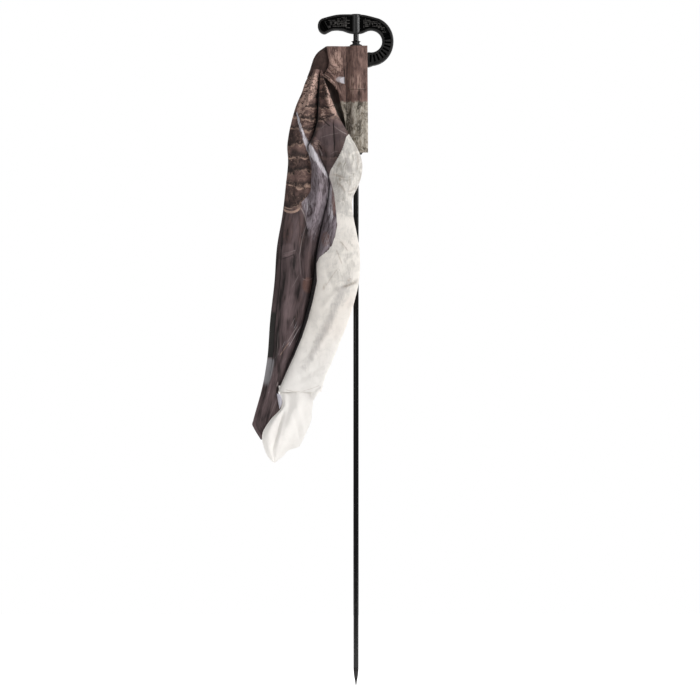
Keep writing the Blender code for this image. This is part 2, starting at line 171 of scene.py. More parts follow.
class Finish:
    """A Principled material whose colour, roughness and bump are built from fields."""

    def __init__(self, name, roughness=0.5, metallic=0.0, sheen=0.0, coat=0.0, specular=0.5):
        self.material = bpy.data.materials.new(name)
        self.material.use_nodes = True
        self.tree = self.material.node_tree
        self.shader = self.tree.nodes["Principled BSDF"]
        for socket, value in (
            ("Roughness", roughness),
            ("Metallic", metallic),
            ("Sheen Weight", sheen),
            ("Coat Weight", coat),
            ("Specular IOR Level", specular),
        ):
            self.shader.inputs[socket].default_value = value
        self.height = None

    def place(self):
        """The rest position in metres, kept in an attribute so that a pattern stays put on moved cloth."""
        return self.vector("rest")

    def vector(self, name):
        node = self.tree.nodes.new("ShaderNodeAttribute")
        node.attribute_name = name
        return Field(self.tree, node.outputs["Vector"])

    def object_place(self):
        node = self.tree.nodes.new("ShaderNodeTexCoord")
        return Field(self.tree, node.outputs["Object"])

    def mask(self, name):
        node = self.tree.nodes.new("ShaderNodeAttribute")
        node.attribute_name = name
        return Field(self.tree, node.outputs["Fac"])

    def parts(self, vector):
        node = self.tree.nodes.new("ShaderNodeSeparateXYZ")
        self.tree.links.new(vector.socket, node.inputs[0])
        return [Field(self.tree, output) for output in node.outputs]

    def joined(self, x, y, z=0.0):
        node = self.tree.nodes.new("ShaderNodeCombineXYZ")
        field = Field(self.tree, node.outputs[0])
        for index, value in enumerate((x, y, z)):
            field.feed(node, index, value)
        return field

    def noise(self, vector, size, detail=3.0, roughness=0.55, stretch=(1.0, 1.0, 1.0), warp=0.0):
        """Noise with features of a size in metres, longer by a stretch along each axis."""
        mapping = self.tree.nodes.new("ShaderNodeMapping")
        mapping.inputs["Scale"].default_value = [1.0 / (size * s) for s in stretch]
        self.tree.links.new(vector.socket, mapping.inputs["Vector"])
        node = self.tree.nodes.new("ShaderNodeTexNoise")
        node.inputs["Scale"].default_value = 1.0
        node.inputs["Detail"].default_value = detail
        node.inputs["Roughness"].default_value = roughness
        node.inputs["Distortion"].default_value = warp
        self.tree.links.new(mapping.outputs[0], node.inputs["Vector"])
        return Field(self.tree, node.outputs[0])

    def stroke(self, place, start, end, width, bow=0.0):
        """A soft line between two (x, drop) points in millimetres, bowed sideways by a distance."""
        x, _, z = self.parts(place)
        ax, az = start[0], SLEEVE_TOP - start[1]
        bx, bz = end[0], SLEEVE_TOP - end[1]
        length = math.hypot(bx - ax, bz - az)
        ux, uz = (bx - ax) / length, (bz - az) / length
        dx, dz = x * 1000.0 - ax, z * 1000.0 - az
        along = (dx * ux + dz * uz) * (1.0 / length)
        aside = (dx * uz - dz * ux) + along * (1.0 - along) * (4.0 * bow)
        return aside.absolute().ramp(width, width * 0.3) * along.ramp(0.0, 0.2) * along.ramp(1.0, 0.8)

    def strokes(self, base, colour, place, lines, texture=None):
        """Lays soft lines of a colour over a base, broken up by a texture if there is one."""
        for start, end, width, bow, strength in lines:
            line = self.stroke(place, start, end, width, bow)
            base = self.mix(base, colour, (line * texture if texture else line) * strength)
        return base

    def random(self, value):
        node = self.tree.nodes.new("ShaderNodeTexWhiteNoise")
        node.noise_dimensions = "1D"
        self.tree.links.new(value.socket, node.inputs["W"])
        return Field(self.tree, node.outputs["Value"])

    def mix(self, first, second, share):
        """A colour between two colours or colour fields."""
        node = self.tree.nodes.new("ShaderNodeMix")
        node.data_type = "RGBA"
        for index, value in ((6, first), (7, second), (0, share)):
            if isinstance(value, Field):
                self.tree.links.new(value.socket, node.inputs[index])
            elif index == 0:
                node.inputs[index].default_value = value
            else:
                node.inputs[index].default_value = (*value, 1.0)
        return Field(self.tree, node.outputs[2])

    def colour(self, field):
        self.tree.links.new(field.socket, self.shader.inputs["Base Color"])

    def roughness(self, field):
        self.tree.links.new(field.socket, self.shader.inputs["Roughness"])

    def bump(self, field, depth, strength=1.0):
        """Raises the surface by a field times a depth in metres, on top of the bumps before it."""
        node = self.tree.nodes.new("ShaderNodeBump")
        node.inputs["Distance"].default_value = depth
        node.inputs["Strength"].default_value = strength
        self.tree.links.new(field.socket, node.inputs["Height"])
        if self.height:
            self.tree.links.new(self.height, node.inputs["Normal"])
        self.height = node.outputs[0]
        self.tree.links.new(self.height, self.shader.inputs["Normal"])


def paint(red, green, blue):
    """A linear colour from one given as 0 to 255 display values."""
    found = []
    for value in (red, green, blue):
        share = value / 255
        found.append(share / 12.92 if share <= 0.04045 else ((share + 0.055) / 1.055) ** 2.4)
    return tuple(found)


# Colours of the print
INK = paint(24, 17, 15)
DARK_BROWN = paint(50, 35, 32)
MID_BROWN = paint(130, 103, 96)
MAUVE = paint(104, 87, 88)
PLUM = paint(52, 41, 41)
TAN = paint(206, 172, 154)
SALMON = paint(214, 180, 165)
RUST = paint(128, 94, 84)
SLATE = paint(80, 68, 72)
LAVENDER = paint(168, 156, 163)
LILAC = paint(126, 107, 108)
FROST = paint(232, 226, 232)
OLIVE = paint(46, 44, 42)
PALE_GREY = paint(150, 147, 150)
PALE_EDGE = paint(196, 182, 180)
CREAM = paint(252, 246, 238)
SHELL = paint(247, 232, 221)
SNOW = paint(255, 251, 246)
COOL_GREY = paint(207, 203, 197)
FLUFF = paint(172, 160, 144)
FLUFF_DARK = paint(92, 86, 76)
# Grey of the painted shade down the belly
SHADOW_GREY = paint(176, 170, 168)
SHADOW_TAN = paint(150, 126, 104)

# Printed lines, as (x, drop) ends with a width, a sideways bow and a strength: pale feather edges and shafts
PALE_STROKES = [
    ((-42.0, 141.0), (-14.0, 160.0), 1.4, -2.5, 1.0),
    ((-66.0, 166.0), (-26.0, 157.0), 0.9, 1.5, 0.9),
    ((-66.0, 183.0), (-60.0, 198.0), 1.6, 1.0, 1.0),
    ((-46.0, 196.0), (-30.0, 190.0), 1.0, 2.0, 0.5),
    ((-63.0, 150.0), (-50.0, 141.0), 1.2, 1.5, 0.5),
    ((-101.0, 286.0), (-88.0, 318.0), 1.5, 2.5, 1.0),
    ((-88.0, 318.0), (-101.0, 380.0), 1.2, -2.0, 0.8),
    ((-100.0, 372.0), (-99.0, 412.0), 1.0, 0.0, 0.6),
    ((-97.0, 414.0), (-76.0, 412.0), 1.2, -5.0, 0.7),
    ((-132.0, 371.0), (-106.0, 364.0), 1.0, -1.0, 0.7),
    ((-41.0, 250.0), (-37.5, 290.0), 1.6, -1.5, 0.8),
    ((-47.0, 236.0), (-41.0, 262.0), 1.4, 1.5, 0.7),
    ((-38.0, 300.0), (-46.0, 346.0), 1.4, -1.5, 0.5),
    ((-76.0, 262.0), (-92.0, 300.0), 1.2, 2.0, 0.6),
    ((-72.0, 268.0), (-84.0, 320.0), 0.9, 2.0, 0.6),
    ((-68.0, 262.0), (-74.0, 300.0), 1.0, -2.0, 0.5),
    ((-52.0, 300.0), (-60.0, 340.0), 0.9, 1.5, 0.6),
    ((-56.0, 290.0), (-52.0, 330.0), 0.8, 1.5, 0.5),
    ((-101.0, 407.0), (-114.0, 432.0), 0.6, 0.0, 0.5),
    ((-99.0, 499.0), (-122.0, 541.0), 1.0, 0.0, 0.9),
    ((-103.0, 497.0), (-124.0, 532.0), 1.3, 0.0, 0.7),
    ((-96.0, 506.0), (-108.0, 531.0), 0.8, 0.0, 0.7),
    ((-108.0, 484.0), (-117.0, 502.0), 0.8, 0.0, 0.6),
    ((-139.0, 599.0), (-141.0, 608.0), 1.3, 0.0, 1.0),
    ((-138.0, 505.0), (-141.0, 560.0), 0.8, 0.0, 0.4),
    ((-136.0, 617.0), (-156.0, 668.0), 0.9, 0.0, 0.35),
]
# Broader ones, carried by the cloth's own points
BROAD_PALE = [
    ((-131.0, 291.0), (-98.0, 289.0), 3.6, -7.0, 1.0),
    ((-129.0, 286.0), (-112.0, 291.0), 2.4, -2.0, 0.6),
    ((-116.0, 524.0), (-138.0, 556.0), 2.4, 0.0, 0.45),
]
# Painted shade: dark lines along sharp creases
CREASE_SHADE_LINES = [
    ((-41.0, 131.0), (-38.0, 196.0), 1.6, 0.6, 0.85),
    ((-60.0, 128.0), (-44.0, 146.0), 1.4, -2.0, 0.8),
    ((-58.0, 108.0), (-48.0, 114.0), 1.4, 0.0, 0.6),
    ((-56.0, 84.0), (-50.0, 94.0), 1.4, 0.0, 0.6),
    ((-133.0, 380.0), (-108.0, 371.0), 1.2, -1.0, 0.7),
    ((-98.0, 380.0), (-94.0, 416.0), 1.2, 0.0, 0.5),
    ((-74.0, 366.0), (-74.0, 420.0), 1.6, 1.0, 0.7),
]
# Broader dark marks, partly dark feather print and partly painted shade in the folds
BROAD_DARK_PRINT_AND_SHADE = [
    ((-66.0, 176.0), (-60.0, 186.0), 2.6, 0.0, 0.9),
    ((-100.0, 298.0), (-100.0, 350.0), 3.4, 0.0, 0.55),
    ((-112.0, 256.0), (-106.0, 288.0), 3.0, 0.0, 0.6),
    ((-121.0, 262.0), (-118.0, 282.0), 2.6, 0.0, 0.7),
    ((-99.0, 262.0), (-96.0, 280.0), 2.4, 0.0, 0.6),
    ((-52.0, 262.0), (-47.0, 330.0), 3.0, -2.0, 0.6),
    ((-128.0, 300.0), (-133.0, 352.0), 2.6, 0.0, 0.7),
    ((-114.0, 302.0), (-112.0, 350.0), 2.2, 0.0, 0.5),
    ((-112.0, 384.0), (-114.0, 430.0), 2.6, 0.0, 0.5),
    ((-93.0, 352.0), (-92.0, 410.0), 2.6, 0.0, 0.5),
    ((-110.0, 548.0), (-128.0, 596.0), 5.0, 0.0, 0.4),
]
# Painted shade in the root's creases and under the gather roll, and dark lines beside its seams
ROOT_CREASE_SHADE_AND_SEAMS = [
    ((-62.0, 46.5), (-43.0, 60.5), 1.3, -1.5, 0.9),
    ((-57.0, 44.0), (-38.0, 50.0), 1.1, -1.5, 0.7),
    ((-53.0, 34.0), (-36.0, 54.0), 1.3, -1.0, 0.7),
    ((-50.0, 30.0), (-26.0, 40.0), 1.2, -2.0, 0.5),
    ((-34.0, 62.0), (-26.0, 84.0), 1.6, 1.0, 0.5),
    ((-54.0, 41.0), (-38.0, 58.0), 1.0, -1.0, 0.6),
    ((-50.0, 24.0), (-30.0, 48.0), 1.2, -2.0, 0.4),
    ((-22.5, 14.0), (-21.5, 58.0), 1.4, 0.0, 0.45),
    ((-20.6, 40.0), (-20.6, 70.0), 1.2, 0.0, 0.5),
    ((-16.2, 1.0), (-16.2, 110.0), 0.9, 0.0, 0.85),
    ((-16.4, 90.0), (-16.2, 190.0), 0.8, 0.0, 0.65),
    ((4.6, 66.0), (5.0, 112.0), 0.8, 0.0, 0.6),
    ((-16.0, 77.6), (22.0, 78.4), 0.8, 0.0, 0.7),
]
# Painted shade in grey and tan along the belly's creases
BELLY_CREASE_SHADE = [
    ((-54.0, 430.0), (-30.0, 395.0), 1.4, 1.0, 0.4),
    ((-30.0, 348.0), (-14.0, 368.0), 1.6, 1.0, 0.5),
    ((-36.0, 362.0), (-24.0, 392.0), 1.8, 0.0, 0.5),
    ((-128.0, 612.0), (-98.0, 616.5), 0.9, -1.5, 0.7),
    ((-98.0, 616.5), (-62.0, 604.0), 0.8, -1.0, 0.5),
]
BROAD_BELLY_CREASE_SHADE = [
    ((-24.0, 431.0), (3.0, 420.0), 2.2, -1.0, 0.9),
    ((-16.0, 421.0), (-9.0, 415.0), 2.0, 0.0, 1.0),
    ((-60.0, 437.0), (-53.0, 423.0), 2.4, 0.0, 0.9),
    ((-44.0, 231.0), (-20.0, 240.0), 3.0, 3.0, 0.7),
    ((-33.0, 246.0), (-20.0, 262.0), 2.4, 2.0, 0.8),
    ((-16.0, 262.0), (2.0, 250.0), 2.2, -2.0, 0.6),
    ((-4.0, 176.0), (4.0, 214.0), 2.6, 2.0, 0.5),
]


# Materials of the hard parts


def nylon_finish(name, dark, light, roughness, grain_depth, specular):
    """Black moulded nylon with a fine eroded surface, greyer in soft random patches where its roughness also
    changes; the grip's raised blocks get a lighter pair of greys as a painted highlight, and its recesses a
    near-black pair as painted shade.
    """
    made = Finish(name, roughness=roughness, specular=specular)
    place = made.object_place()
    grain = made.noise(place, 0.0007, detail=2.0)
    cloud = made.noise(place, 0.012, detail=5.0)
    made.colour(made.mix(dark, light, (cloud * 0.8 + grain * 0.4 - 0.1).ramp(0.3, 0.8)))
    made.roughness(cloud * 0.2 + (roughness - 0.1))
    made.bump(grain, grain_depth)
    return made.material


def coating_finish():
    """Gloss black coating with faint orange peel, scuffs and a dusty lower end."""
    made = Finish("coated_steel", roughness=0.2, specular=0.4)
    place = made.object_place()
    _, _, z = made.parts(place)
    peel = made.noise(place, 0.0035, detail=2.0)
    scuffs = made.noise(place, 0.003, detail=5.0, stretch=(1.0, 1.0, 9.0)).ramp(0.6, 0.74)
    low = z.ramp(0.32, 0.04)
    dust = made.noise(place, 0.012, detail=5.0).ramp(0.45, 0.75) * low
    base = made.mix(paint(4, 4, 4), paint(30, 28, 29), scuffs * 0.4)
    made.colour(made.mix(base, paint(50, 45, 41), dust * 0.2))
    made.roughness(scuffs * 0.15 + dust * 0.15 + 0.2)
    made.bump(peel, 0.00008, 0.5)
    made.bump(scuffs, 0.00004)
    return made.material


def bare_steel_finish():
    """Turned steel with fine lathe rings and a little staining."""
    made = Finish("bare_steel", roughness=0.5, metallic=0.45, specular=0.2)
    place = made.object_place()
    _, _, z = made.parts(place)
    rings = (z * 9000.0).sine()
    stain = made.noise(place, 0.006, detail=5.0)
    made.colour(made.mix(paint(54, 52, 52), paint(28, 26, 25), stain.ramp(0.42, 0.72)))
    made.roughness(stain * 0.3 + 0.36)
    made.bump(rings, 0.00002, 0.7)
    made.bump(stain, 0.0001, 0.4)
    return made.material


def dark_steel_finish():
    made = Finish("blackened_steel", roughness=0.34, metallic=1.0)
    place = made.object_place()
    worn = made.noise(place, 0.003, detail=5.0).ramp(0.5, 0.72)
    made.colour(made.mix(paint(48, 47, 49), paint(120, 118, 116), worn))
    made.roughness(worn * 0.2 + 0.28)
    made.bump(made.noise(place, 0.0012), 0.00004)
    return made.material


def bushing_finish():
    made = Finish("bushing_plastic", roughness=0.4)
    place = made.object_place()
    _, _, z = made.parts(place)
    cloud = made.noise(place, 0.004, detail=4.0)
    made.colour(made.mix(paint(22, 22, 23), paint(50, 50, 50), cloud.ramp(0.4, 0.8)))
    made.roughness(cloud * 0.25 + 0.28)
    made.bump((z * 5200.0).sine(), 0.00003, 0.6)
    return made.material


def tube_finish():
    made = Finish("tube_plastic", roughness=0.5)
    place = made.object_place()
    streak = made.noise(place, 0.002, detail=4.0, stretch=(1.0, 1.0, 20.0))
    made.colour(made.mix(paint(150, 150, 146), paint(186, 185, 180), streak))
    made.roughness(streak * 0.2 + 0.4)
    made.bump(streak, 0.00005, 0.5)
    return made.material


# Materials of the cloth


# Height of the weave, in metres
WEAVE_RELIEF = 0.00012


def weave(made, thread=0.00075):
    """A plain weave's height, from the cloth's own flat coordinates."""
    u, v, _ = made.parts(made.vector("flat"))
    across = (u * (2 * math.pi / thread)).sine()
    along = (v * (2 * math.pi / thread)).sine()
    slub = made.noise(made.vector("flat"), 0.004, detail=2.0, stretch=(0.3, 6.0, 1.0))
    return across * along * 0.5 + slub * 0.8


def feathers(made, col, row, droop):
    """Overlapping rows of round-tipped feathers, one column and one row a feather.

    Returns how far the point is above its own feather's tip, in rows, where it is across that feather from -0.5
    to 0.5, and a random number for each feather.
    """
    index = row.floor()
    within = row - index

    def feather_in(row_index, reach):
        shift = made.random(row_index + 0.5)
        place = col + row_index * 0.5 + shift * 0.35
        cell = place.floor()
        across = place - cell - 0.5
        return reach - across * across * (4 * droop), across, made.random(cell + row_index * 17.3)

    near = feather_in(index, 1.0)
    far = feather_in(index + 1.0, 2.0)
    mine = within.below(near[0])
    chosen = [a * mine + b * (1.0 - mine) for a, b in zip(near, far)]
    return chosen[0] - within, chosen[1], chosen[2]


def brown_print(made, rest, col, row, tan_share):
    """Brown body feathers: pale ragged tips, dark bases, a fine comb of barbs and a shaft."""
    wander = made.noise(rest, 0.019, detail=3.0)
    drift = made.noise(rest, 0.031, detail=2.0)
    above, across, chance = feathers(made, col + wander * 2.4, row + drift * 1.5 + wander * 0.5 - 1.0, 0.14)
    barb = made.joined(across * 30.0 + col * 3.0, above * 1.4 + across.absolute() * 3.0)
    comb = made.noise(barb, 1.0, detail=4.0)
    ragged = above + comb * 0.12 - 0.06
    mottle = made.noise(rest, 0.0075, detail=6.0, roughness=0.7)
    base = made.mix(DARK_BROWN, MID_BROWN, (mottle * 0.8 + chance * 0.4 + comb * 0.5 - 0.35).ramp(0.2, 0.75))
    base = made.mix(base, INK, ragged.ramp(0.75, 0.2) * (0.55 + chance * 0.35))
    fringe = ragged.ramp(0.26, 0.04) * mottle.ramp(0.36, 0.56)
    base = made.mix(base, TAN, fringe * tan_share * (0.35 + chance * 0.75))
    bars = (ragged * 17.0).sine().ramp(0.2, 1.0) * mottle.ramp(0.42, 0.6) * made.mask("bars")
    base = made.mix(base, TAN, bars * 0.5)
    shaft = across.absolute().ramp(0.05, 0.012) * above.ramp(0.1, 0.3) * 0.25
    return made.mix(base, TAN, shaft * tan_share), comb


def wing_finish():
    """The wing's print: brown scapulars, a frosted covert band, dark primaries and a pale belly, with painted
    shade in its valleys and creases and painted highlights and sheen on some crests.
    """
    made = Finish("wing_print", roughness=0.75, sheen=0.1, specular=0.35)
    rest = made.place()
    u, v, _ = made.parts(made.vector("flat"))
    col, row, _ = made.parts(made.vector("feather"))
    flat = made.joined(u, v)

    ground, comb = brown_print(made, rest, col, row, made.mask("tan"))

    # Bright curled feathers on the shoulder
    curls = made.noise(rest, 0.0105, detail=5.0, roughness=0.6, stretch=(1.5, 1.0, 0.7), warp=2.6)
    speckle = made.noise(rest, 0.0021, detail=3.0, warp=0.6)
    dapple = (curls * 1.3 + speckle * 0.18 - 0.24).ramp(0.4, 0.56) * made.mask("dapple")
    ground = made.mix(ground, SALMON, dapple.ramp(0.1, 0.8) * 0.95)

    # Long dark primaries, with soft light along each vane
    vane = made.noise(flat, 0.0016, detail=4.0, stretch=(1.0, 22.0, 1.0))
    glow = made.noise(flat, 0.014, detail=3.0, stretch=(0.8, 5.0, 1.0), warp=0.3)
    primary = made.mix(PLUM, MAUVE, (vane * 0.6 + glow * 1.2 - 0.4).ramp(0.25, 0.72))
    primary = made.mix(primary, INK, (glow * 0.9 + vane * 0.25 - 0.08).ramp(0.46, 0.32) * 0.85)
    ground = made.mix(ground, primary, made.mask("primary"))
    ground = made.strokes(ground, PALE_EDGE, rest, PALE_STROKES, vane * 0.8 + 0.1)
    pale = (made.mask("pale") * 1.3 + vane * 0.5 + speckle * 0.4 - 0.45).ramp(0.25, 0.8)
    ground = made.mix(ground, TAN, pale * 0.8)

    # Fine pale shaft streaks
    streak = made.noise(made.joined(u + v * 0.42, v - u * 0.42), 0.0022, detail=2.0, stretch=(1.0, 16.0, 1.0))
    ground = made.mix(ground, FROST, streak.ramp(0.62, 0.7) * made.mask("shafts") * 0.7)

    # Frosted covert band, with painted highlights along its crests
    strand = made.noise(flat, 0.0022, detail=5.0, roughness=0.62, stretch=(1.0, 9.0, 1.0), warp=1.1)
    drift = made.noise(flat, 0.011, detail=4.0, roughness=0.6, stretch=(1.0, 2.0, 1.0), warp=0.8)
    covert = made.mix(SLATE, LAVENDER, (strand * 0.9 + drift * 0.9 - 0.4).ramp(0.26, 0.74))
    covert = made.mix(covert, DARK_BROWN, (drift * 0.7 + strand * 0.5 - 0.05).ramp(0.5, 0.34) * 0.8)
    covert = made.mix(covert, FROST, (strand * 1.2 + made.mask("frost_and_highlight") * 0.46 - 0.36).ramp(0.46, 0.74))
    edge = made.mask("covert") + strand * 1.5 + drift * 0.5 - 1.0
    ground = made.mix(ground, covert, edge.ramp(0.22, 0.72))
    # Painted sheen: lilac patches stand for the satin highlights on the dark feathers
    lilac = (made.mask("lilac") * 0.8 + vane * 0.6 + glow * 0.7 - 0.65).ramp(0.15, 1.05)
    ground = made.mix(ground, LILAC, lilac * 0.75)
    # Painted shade along the sharp creases
    ground = made.strokes(ground, INK, rest, CREASE_SHADE_LINES)

    # Small patches
    rust = (made.mask("rust") * 0.8 + vane * 0.7 + curls * 0.7 - 0.7).ramp(0.2, 1.0)
    ground = made.mix(ground, RUST, rust * 0.8)
    ground = made.mix(ground, OLIVE, (made.mask("olive") + vane * 0.3 - 0.15).ramp(0.35, 0.6))
    ground = made.mix(ground, PALE_GREY, (made.mask("grey") + vane * 0.5 + glow * 0.8 - 0.65).ramp(0.3, 0.85))
    # Painted shade in the valleys and creases, with some dark print, from the dark mask
    ground = made.mix(ground, INK, (made.mask("dark") + strand * 0.3 - 0.15).ramp(0.2, 0.9))

    # Pale belly
    cloud = made.noise(rest, 0.019, detail=6.0, roughness=0.62, warp=1.2)
    down = made.noise(flat, 0.0026, detail=5.0, roughness=0.6, stretch=(1.0, 7.0, 1.0), warp=0.9)
    warm = made.noise(rest, 0.05, detail=2.0)
    belly = made.mix(CREAM, SHELL, (warm * 0.6 + made.mask("warm") * 0.5).ramp(0.35, 0.8))
    belly = made.mix(belly, SNOW, made.mask("snow"))
    marbling = (cloud * 1.1 + down * 0.4 + made.mask("marble") * 0.2 - 0.3).ramp(0.4, 0.75)
    belly = made.mix(belly, COOL_GREY, marbling * made.mask("marble"))
    tufts = (down * 0.95 + cloud * 0.45 - 0.2).ramp(0.5, 0.72) * made.mask("marble")
    belly = made.mix(belly, FLUFF, tufts * made.mask("tufts"))
    # Painted shade: a grey shadow down the belly
    smoke = (made.mask("smoke") + down * 0.6 + cloud * 0.7 - 0.65).ramp(0.15, 0.95)
    belly = made.mix(belly, SHADOW_GREY, smoke * 0.55)
    # Painted shade in shadow tan along the belly's creases, broken up by the down
    shade_breakup = down * 0.9 + 0.15
    belly = made.mix(belly, SHADOW_TAN, made.mask("crease") * shade_breakup)
    belly = made.strokes(belly, SHADOW_TAN, rest, BELLY_CREASE_SHADE, shade_breakup)
    brink = made.mask("white") + strand * 0.16 - 0.08
    ground = made.mix(ground, belly, brink.ramp(0.42, 0.58))

    made.colour(ground)
    made.bump(weave(made), WEAVE_RELIEF, 0.8)
    made.bump(made.noise(rest, 0.012, detail=3.0), 0.0008, 0.6)
    made.bump(comb, 0.00008, 0.3)
    return made.material


def pocket_finish():
    """The root's print: wavy brown barbs above, grey down below, with painted highlights and painted shade laid
    over it from masks and crease lines.
    """
    made = Finish("root_print", roughness=0.8, sheen=0.1, specular=0.35)
    rest = made.place()
    _, _, z = made.parts(rest)
    barbs = made.noise(rest, 0.0023, detail=5.0, roughness=0.62, stretch=(1.0, 1.0, 7.0), warp=0.9)
    sway = made.noise(rest, 0.011, detail=4.0, stretch=(1.0, 1.0, 1.8), warp=0.6)
    brown = made.mix(paint(70, 51, 46), paint(162, 130, 120), (barbs * 0.9 + sway * 0.7 - 0.3).ramp(0.2, 0.8))
    # Painted highlight where the light mask lies, broken up by the barbs
    lit = (barbs * 1.1 + made.mask("light") * 0.4 - 0.28).ramp(0.5, 0.78)
    brown = made.mix(brown, paint(204, 170, 156), lit * 0.8)
    # Painted highlight: a bluish-white sheen where the frost mask lies
    brown = made.mix(brown, FROST, (made.mask("frost_and_highlight") + barbs * 0.5 - 0.25).ramp(0.3, 0.85))
    curls = made.noise(rest, 0.0062, detail=5.0, roughness=0.62, stretch=(1.0, 1.0, 2.2), warp=2.4)
    clouds = made.noise(rest, 0.013, detail=3.0, stretch=(1.0, 1.0, 1.5), warp=0.8)
    down = made.mix(FLUFF_DARK, FLUFF, (curls * 0.9 + clouds * 1.2 - 0.56).ramp(0.22, 0.62))
    down = made.mix(down, paint(216, 210, 200), (curls + clouds * 0.5 - 0.27).ramp(0.42, 0.66) * 0.75)
    level = (SLEEVE_TOP - PRINT_CHANGE) * MM
    height = z + (barbs - 0.5) * 0.006 + (sway - 0.5) * 0.006
    print_colour = made.mix(down, brown, height.ramp(level - 0.0025, level + 0.0025))
    # Painted shade in the root's creases, dark lines beside the seams, then painted shade from the shade mask
    print_colour = made.strokes(print_colour, INK, rest, ROOT_CREASE_SHADE_AND_SEAMS)
    print_colour = made.mix(print_colour, INK, made.mask("shade"))
    made.colour(print_colour)
    made.bump(weave(made), WEAVE_RELIEF, 0.8)
    made.bump(made.noise(rest, 0.01, detail=3.0), 0.0007, 0.6)
    return made.material


def plain_cloth_finish(name, dark, light):
    """Unprinted woven cloth in one dye, a little uneven."""
    made = Finish(name, roughness=0.85, sheen=0.1, specular=0.3)
    rest = made.place()
    uneven = made.noise(rest, 0.009, detail=5.0)
    thread = made.noise(rest, 0.0011, detail=3.0, stretch=(1.0, 1.0, 5.0))
    made.colour(made.mix(dark, light, (uneven * 0.6 + thread * 0.5).ramp(0.3, 0.8)))
    made.bump(weave(made), WEAVE_RELIEF, 0.8)
    made.bump(uneven, 0.0004, 0.5)
    return made.material


def thread_finish(name, colour):
    made = Finish(name, roughness=0.6, sheen=0.2)
    place = made.object_place()
    ply = made.noise(place, 0.0007, detail=2.0)
    made.colour(made.mix(tuple(c * 0.6 for c in colour), colour, ply.ramp(0.3, 0.6)))
    made.bump(ply, 0.0001)
    return made.material


# Mesh building


def add_piece(name, points, faces, material, smooth_angle=40.0):
    """A mesh object from points in millimetres, with its normals made to agree."""
    mesh = bpy.data.meshes.new(name)
    mesh.from_pydata([[c * MM for c in point] for point in points], [], faces)
    working = bmesh.new()
    working.from_mesh(mesh)
    bmesh.ops.recalc_face_normals(working, faces=working.faces)
    working.to_mesh(mesh)
    working.free()
    mesh.shade_smooth()
    if smooth_angle < 180.0:
        mesh.set_sharp_from_angle(angle=math.radians(smooth_angle))
    made = bpy.data.objects.new(name, mesh)
    if material:
        mesh.materials.append(material)
    bpy.context.scene.collection.objects.link(made)
    return made


def finish_piece(piece, body, slot, *replaced):
    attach(piece, body)
    if replaced:
        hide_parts(*replaced)
    return piece


def apply_modifiers(piece):
    """Bakes a piece's modifiers into its mesh."""
    graph = bpy.context.evaluated_depsgraph_get()
    graph.update()
    baked = bpy.data.meshes.new_from_object(piece.evaluated_get(graph))
    piece.modifiers.clear()
    piece.data = baked
    return piece


def arc(centre, radii, start, end, steps):
    found = []
    for step in range(steps + 1):
        angle = math.radians(start + (end - start) * step / steps)
        found.append((centre[0] + radii[0] * math.cos(angle), centre[1] + radii[1] * math.sin(angle)))
    return found


def spline(points, per_span):
    """A Catmull-Rom curve through points of any dimension."""
    points = np.array(points, float)
    padded = np.vstack([points[:1], points, points[-1:]])
    found = []
    for span in range(len(points) - 1):
        a, b, c, d = padded[span : span + 4]
        for step in range(per_span):
            t = step / per_span
            curve = (2 * a - 5 * b + 4 * c - d) * t**2 + (3 * b - a - 3 * c + d) * t**3
            found.append(0.5 * (2 * b + (c - a) * t + curve))
    found.append(points[-1])
    return [tuple(point) for point in found]


def turned(name, profile, material, segments=72):
    """A surface turned round the pole's axis from a profile of (radius, z) points."""
    points = []
    rings = []
    for radius, z in profile:
        if radius == 0.0:
            points.append((0.0, 0.0, z))
            rings.append([len(points) - 1] * segments)
            continue
        rings.append(list(range(len(points), len(points) + segments)))
        for step in range(segments):
            angle = 2 * math.pi * step / segments
            points.append((radius * math.cos(angle), radius * math.sin(angle), z))
    pairs = list(zip(rings, rings[1:]))
    if profile[0][0] > 0.0:
        pairs.append((rings[-1], rings[0]))
    faces = []
    for lower, upper in pairs:
        for step in range(segments):
            following = (step + 1) % segments
            faces.append(tuple(dict.fromkeys((lower[step], lower[following], upper[following], upper[step]))))
    return add_piece(name, points, faces, material)


def prism_data(outline, front, back, start=0):
    """Points and faces of a solid with an (x, z) outline between two depths."""
    count = len(outline)
    points = [(x, front, z) for x, z in outline] + [(x, back, z) for x, z in outline]
    faces = [
        (start + i, start + (i + 1) % count, start + (i + 1) % count + count, start + i + count)
        for i in range(count)
    ]
    faces.append(tuple(range(start, start + count)))
    faces.append(tuple(range(start + 2 * count - 1, start + count - 1, -1)))
    return points, faces


def prisms(name, outlines, front, back, material=None):
    points, faces = [], []
    for outline in outlines:
        more, sides = prism_data(outline, front, back, len(points))
        points += more
        faces += sides
    return add_piece(name, points, faces, material)


def cut(target, cutter, operation="DIFFERENCE"):
    """Applies a Boolean and removes the cutter."""
    modifier = target.modifiers.new("cut", "BOOLEAN")
    modifier.operation = operation
    modifier.solver = "MANIFOLD"
    modifier.object = cutter
    apply_modifiers(target)
    bpy.data.objects.remove(cutter)
    return target


# Handle


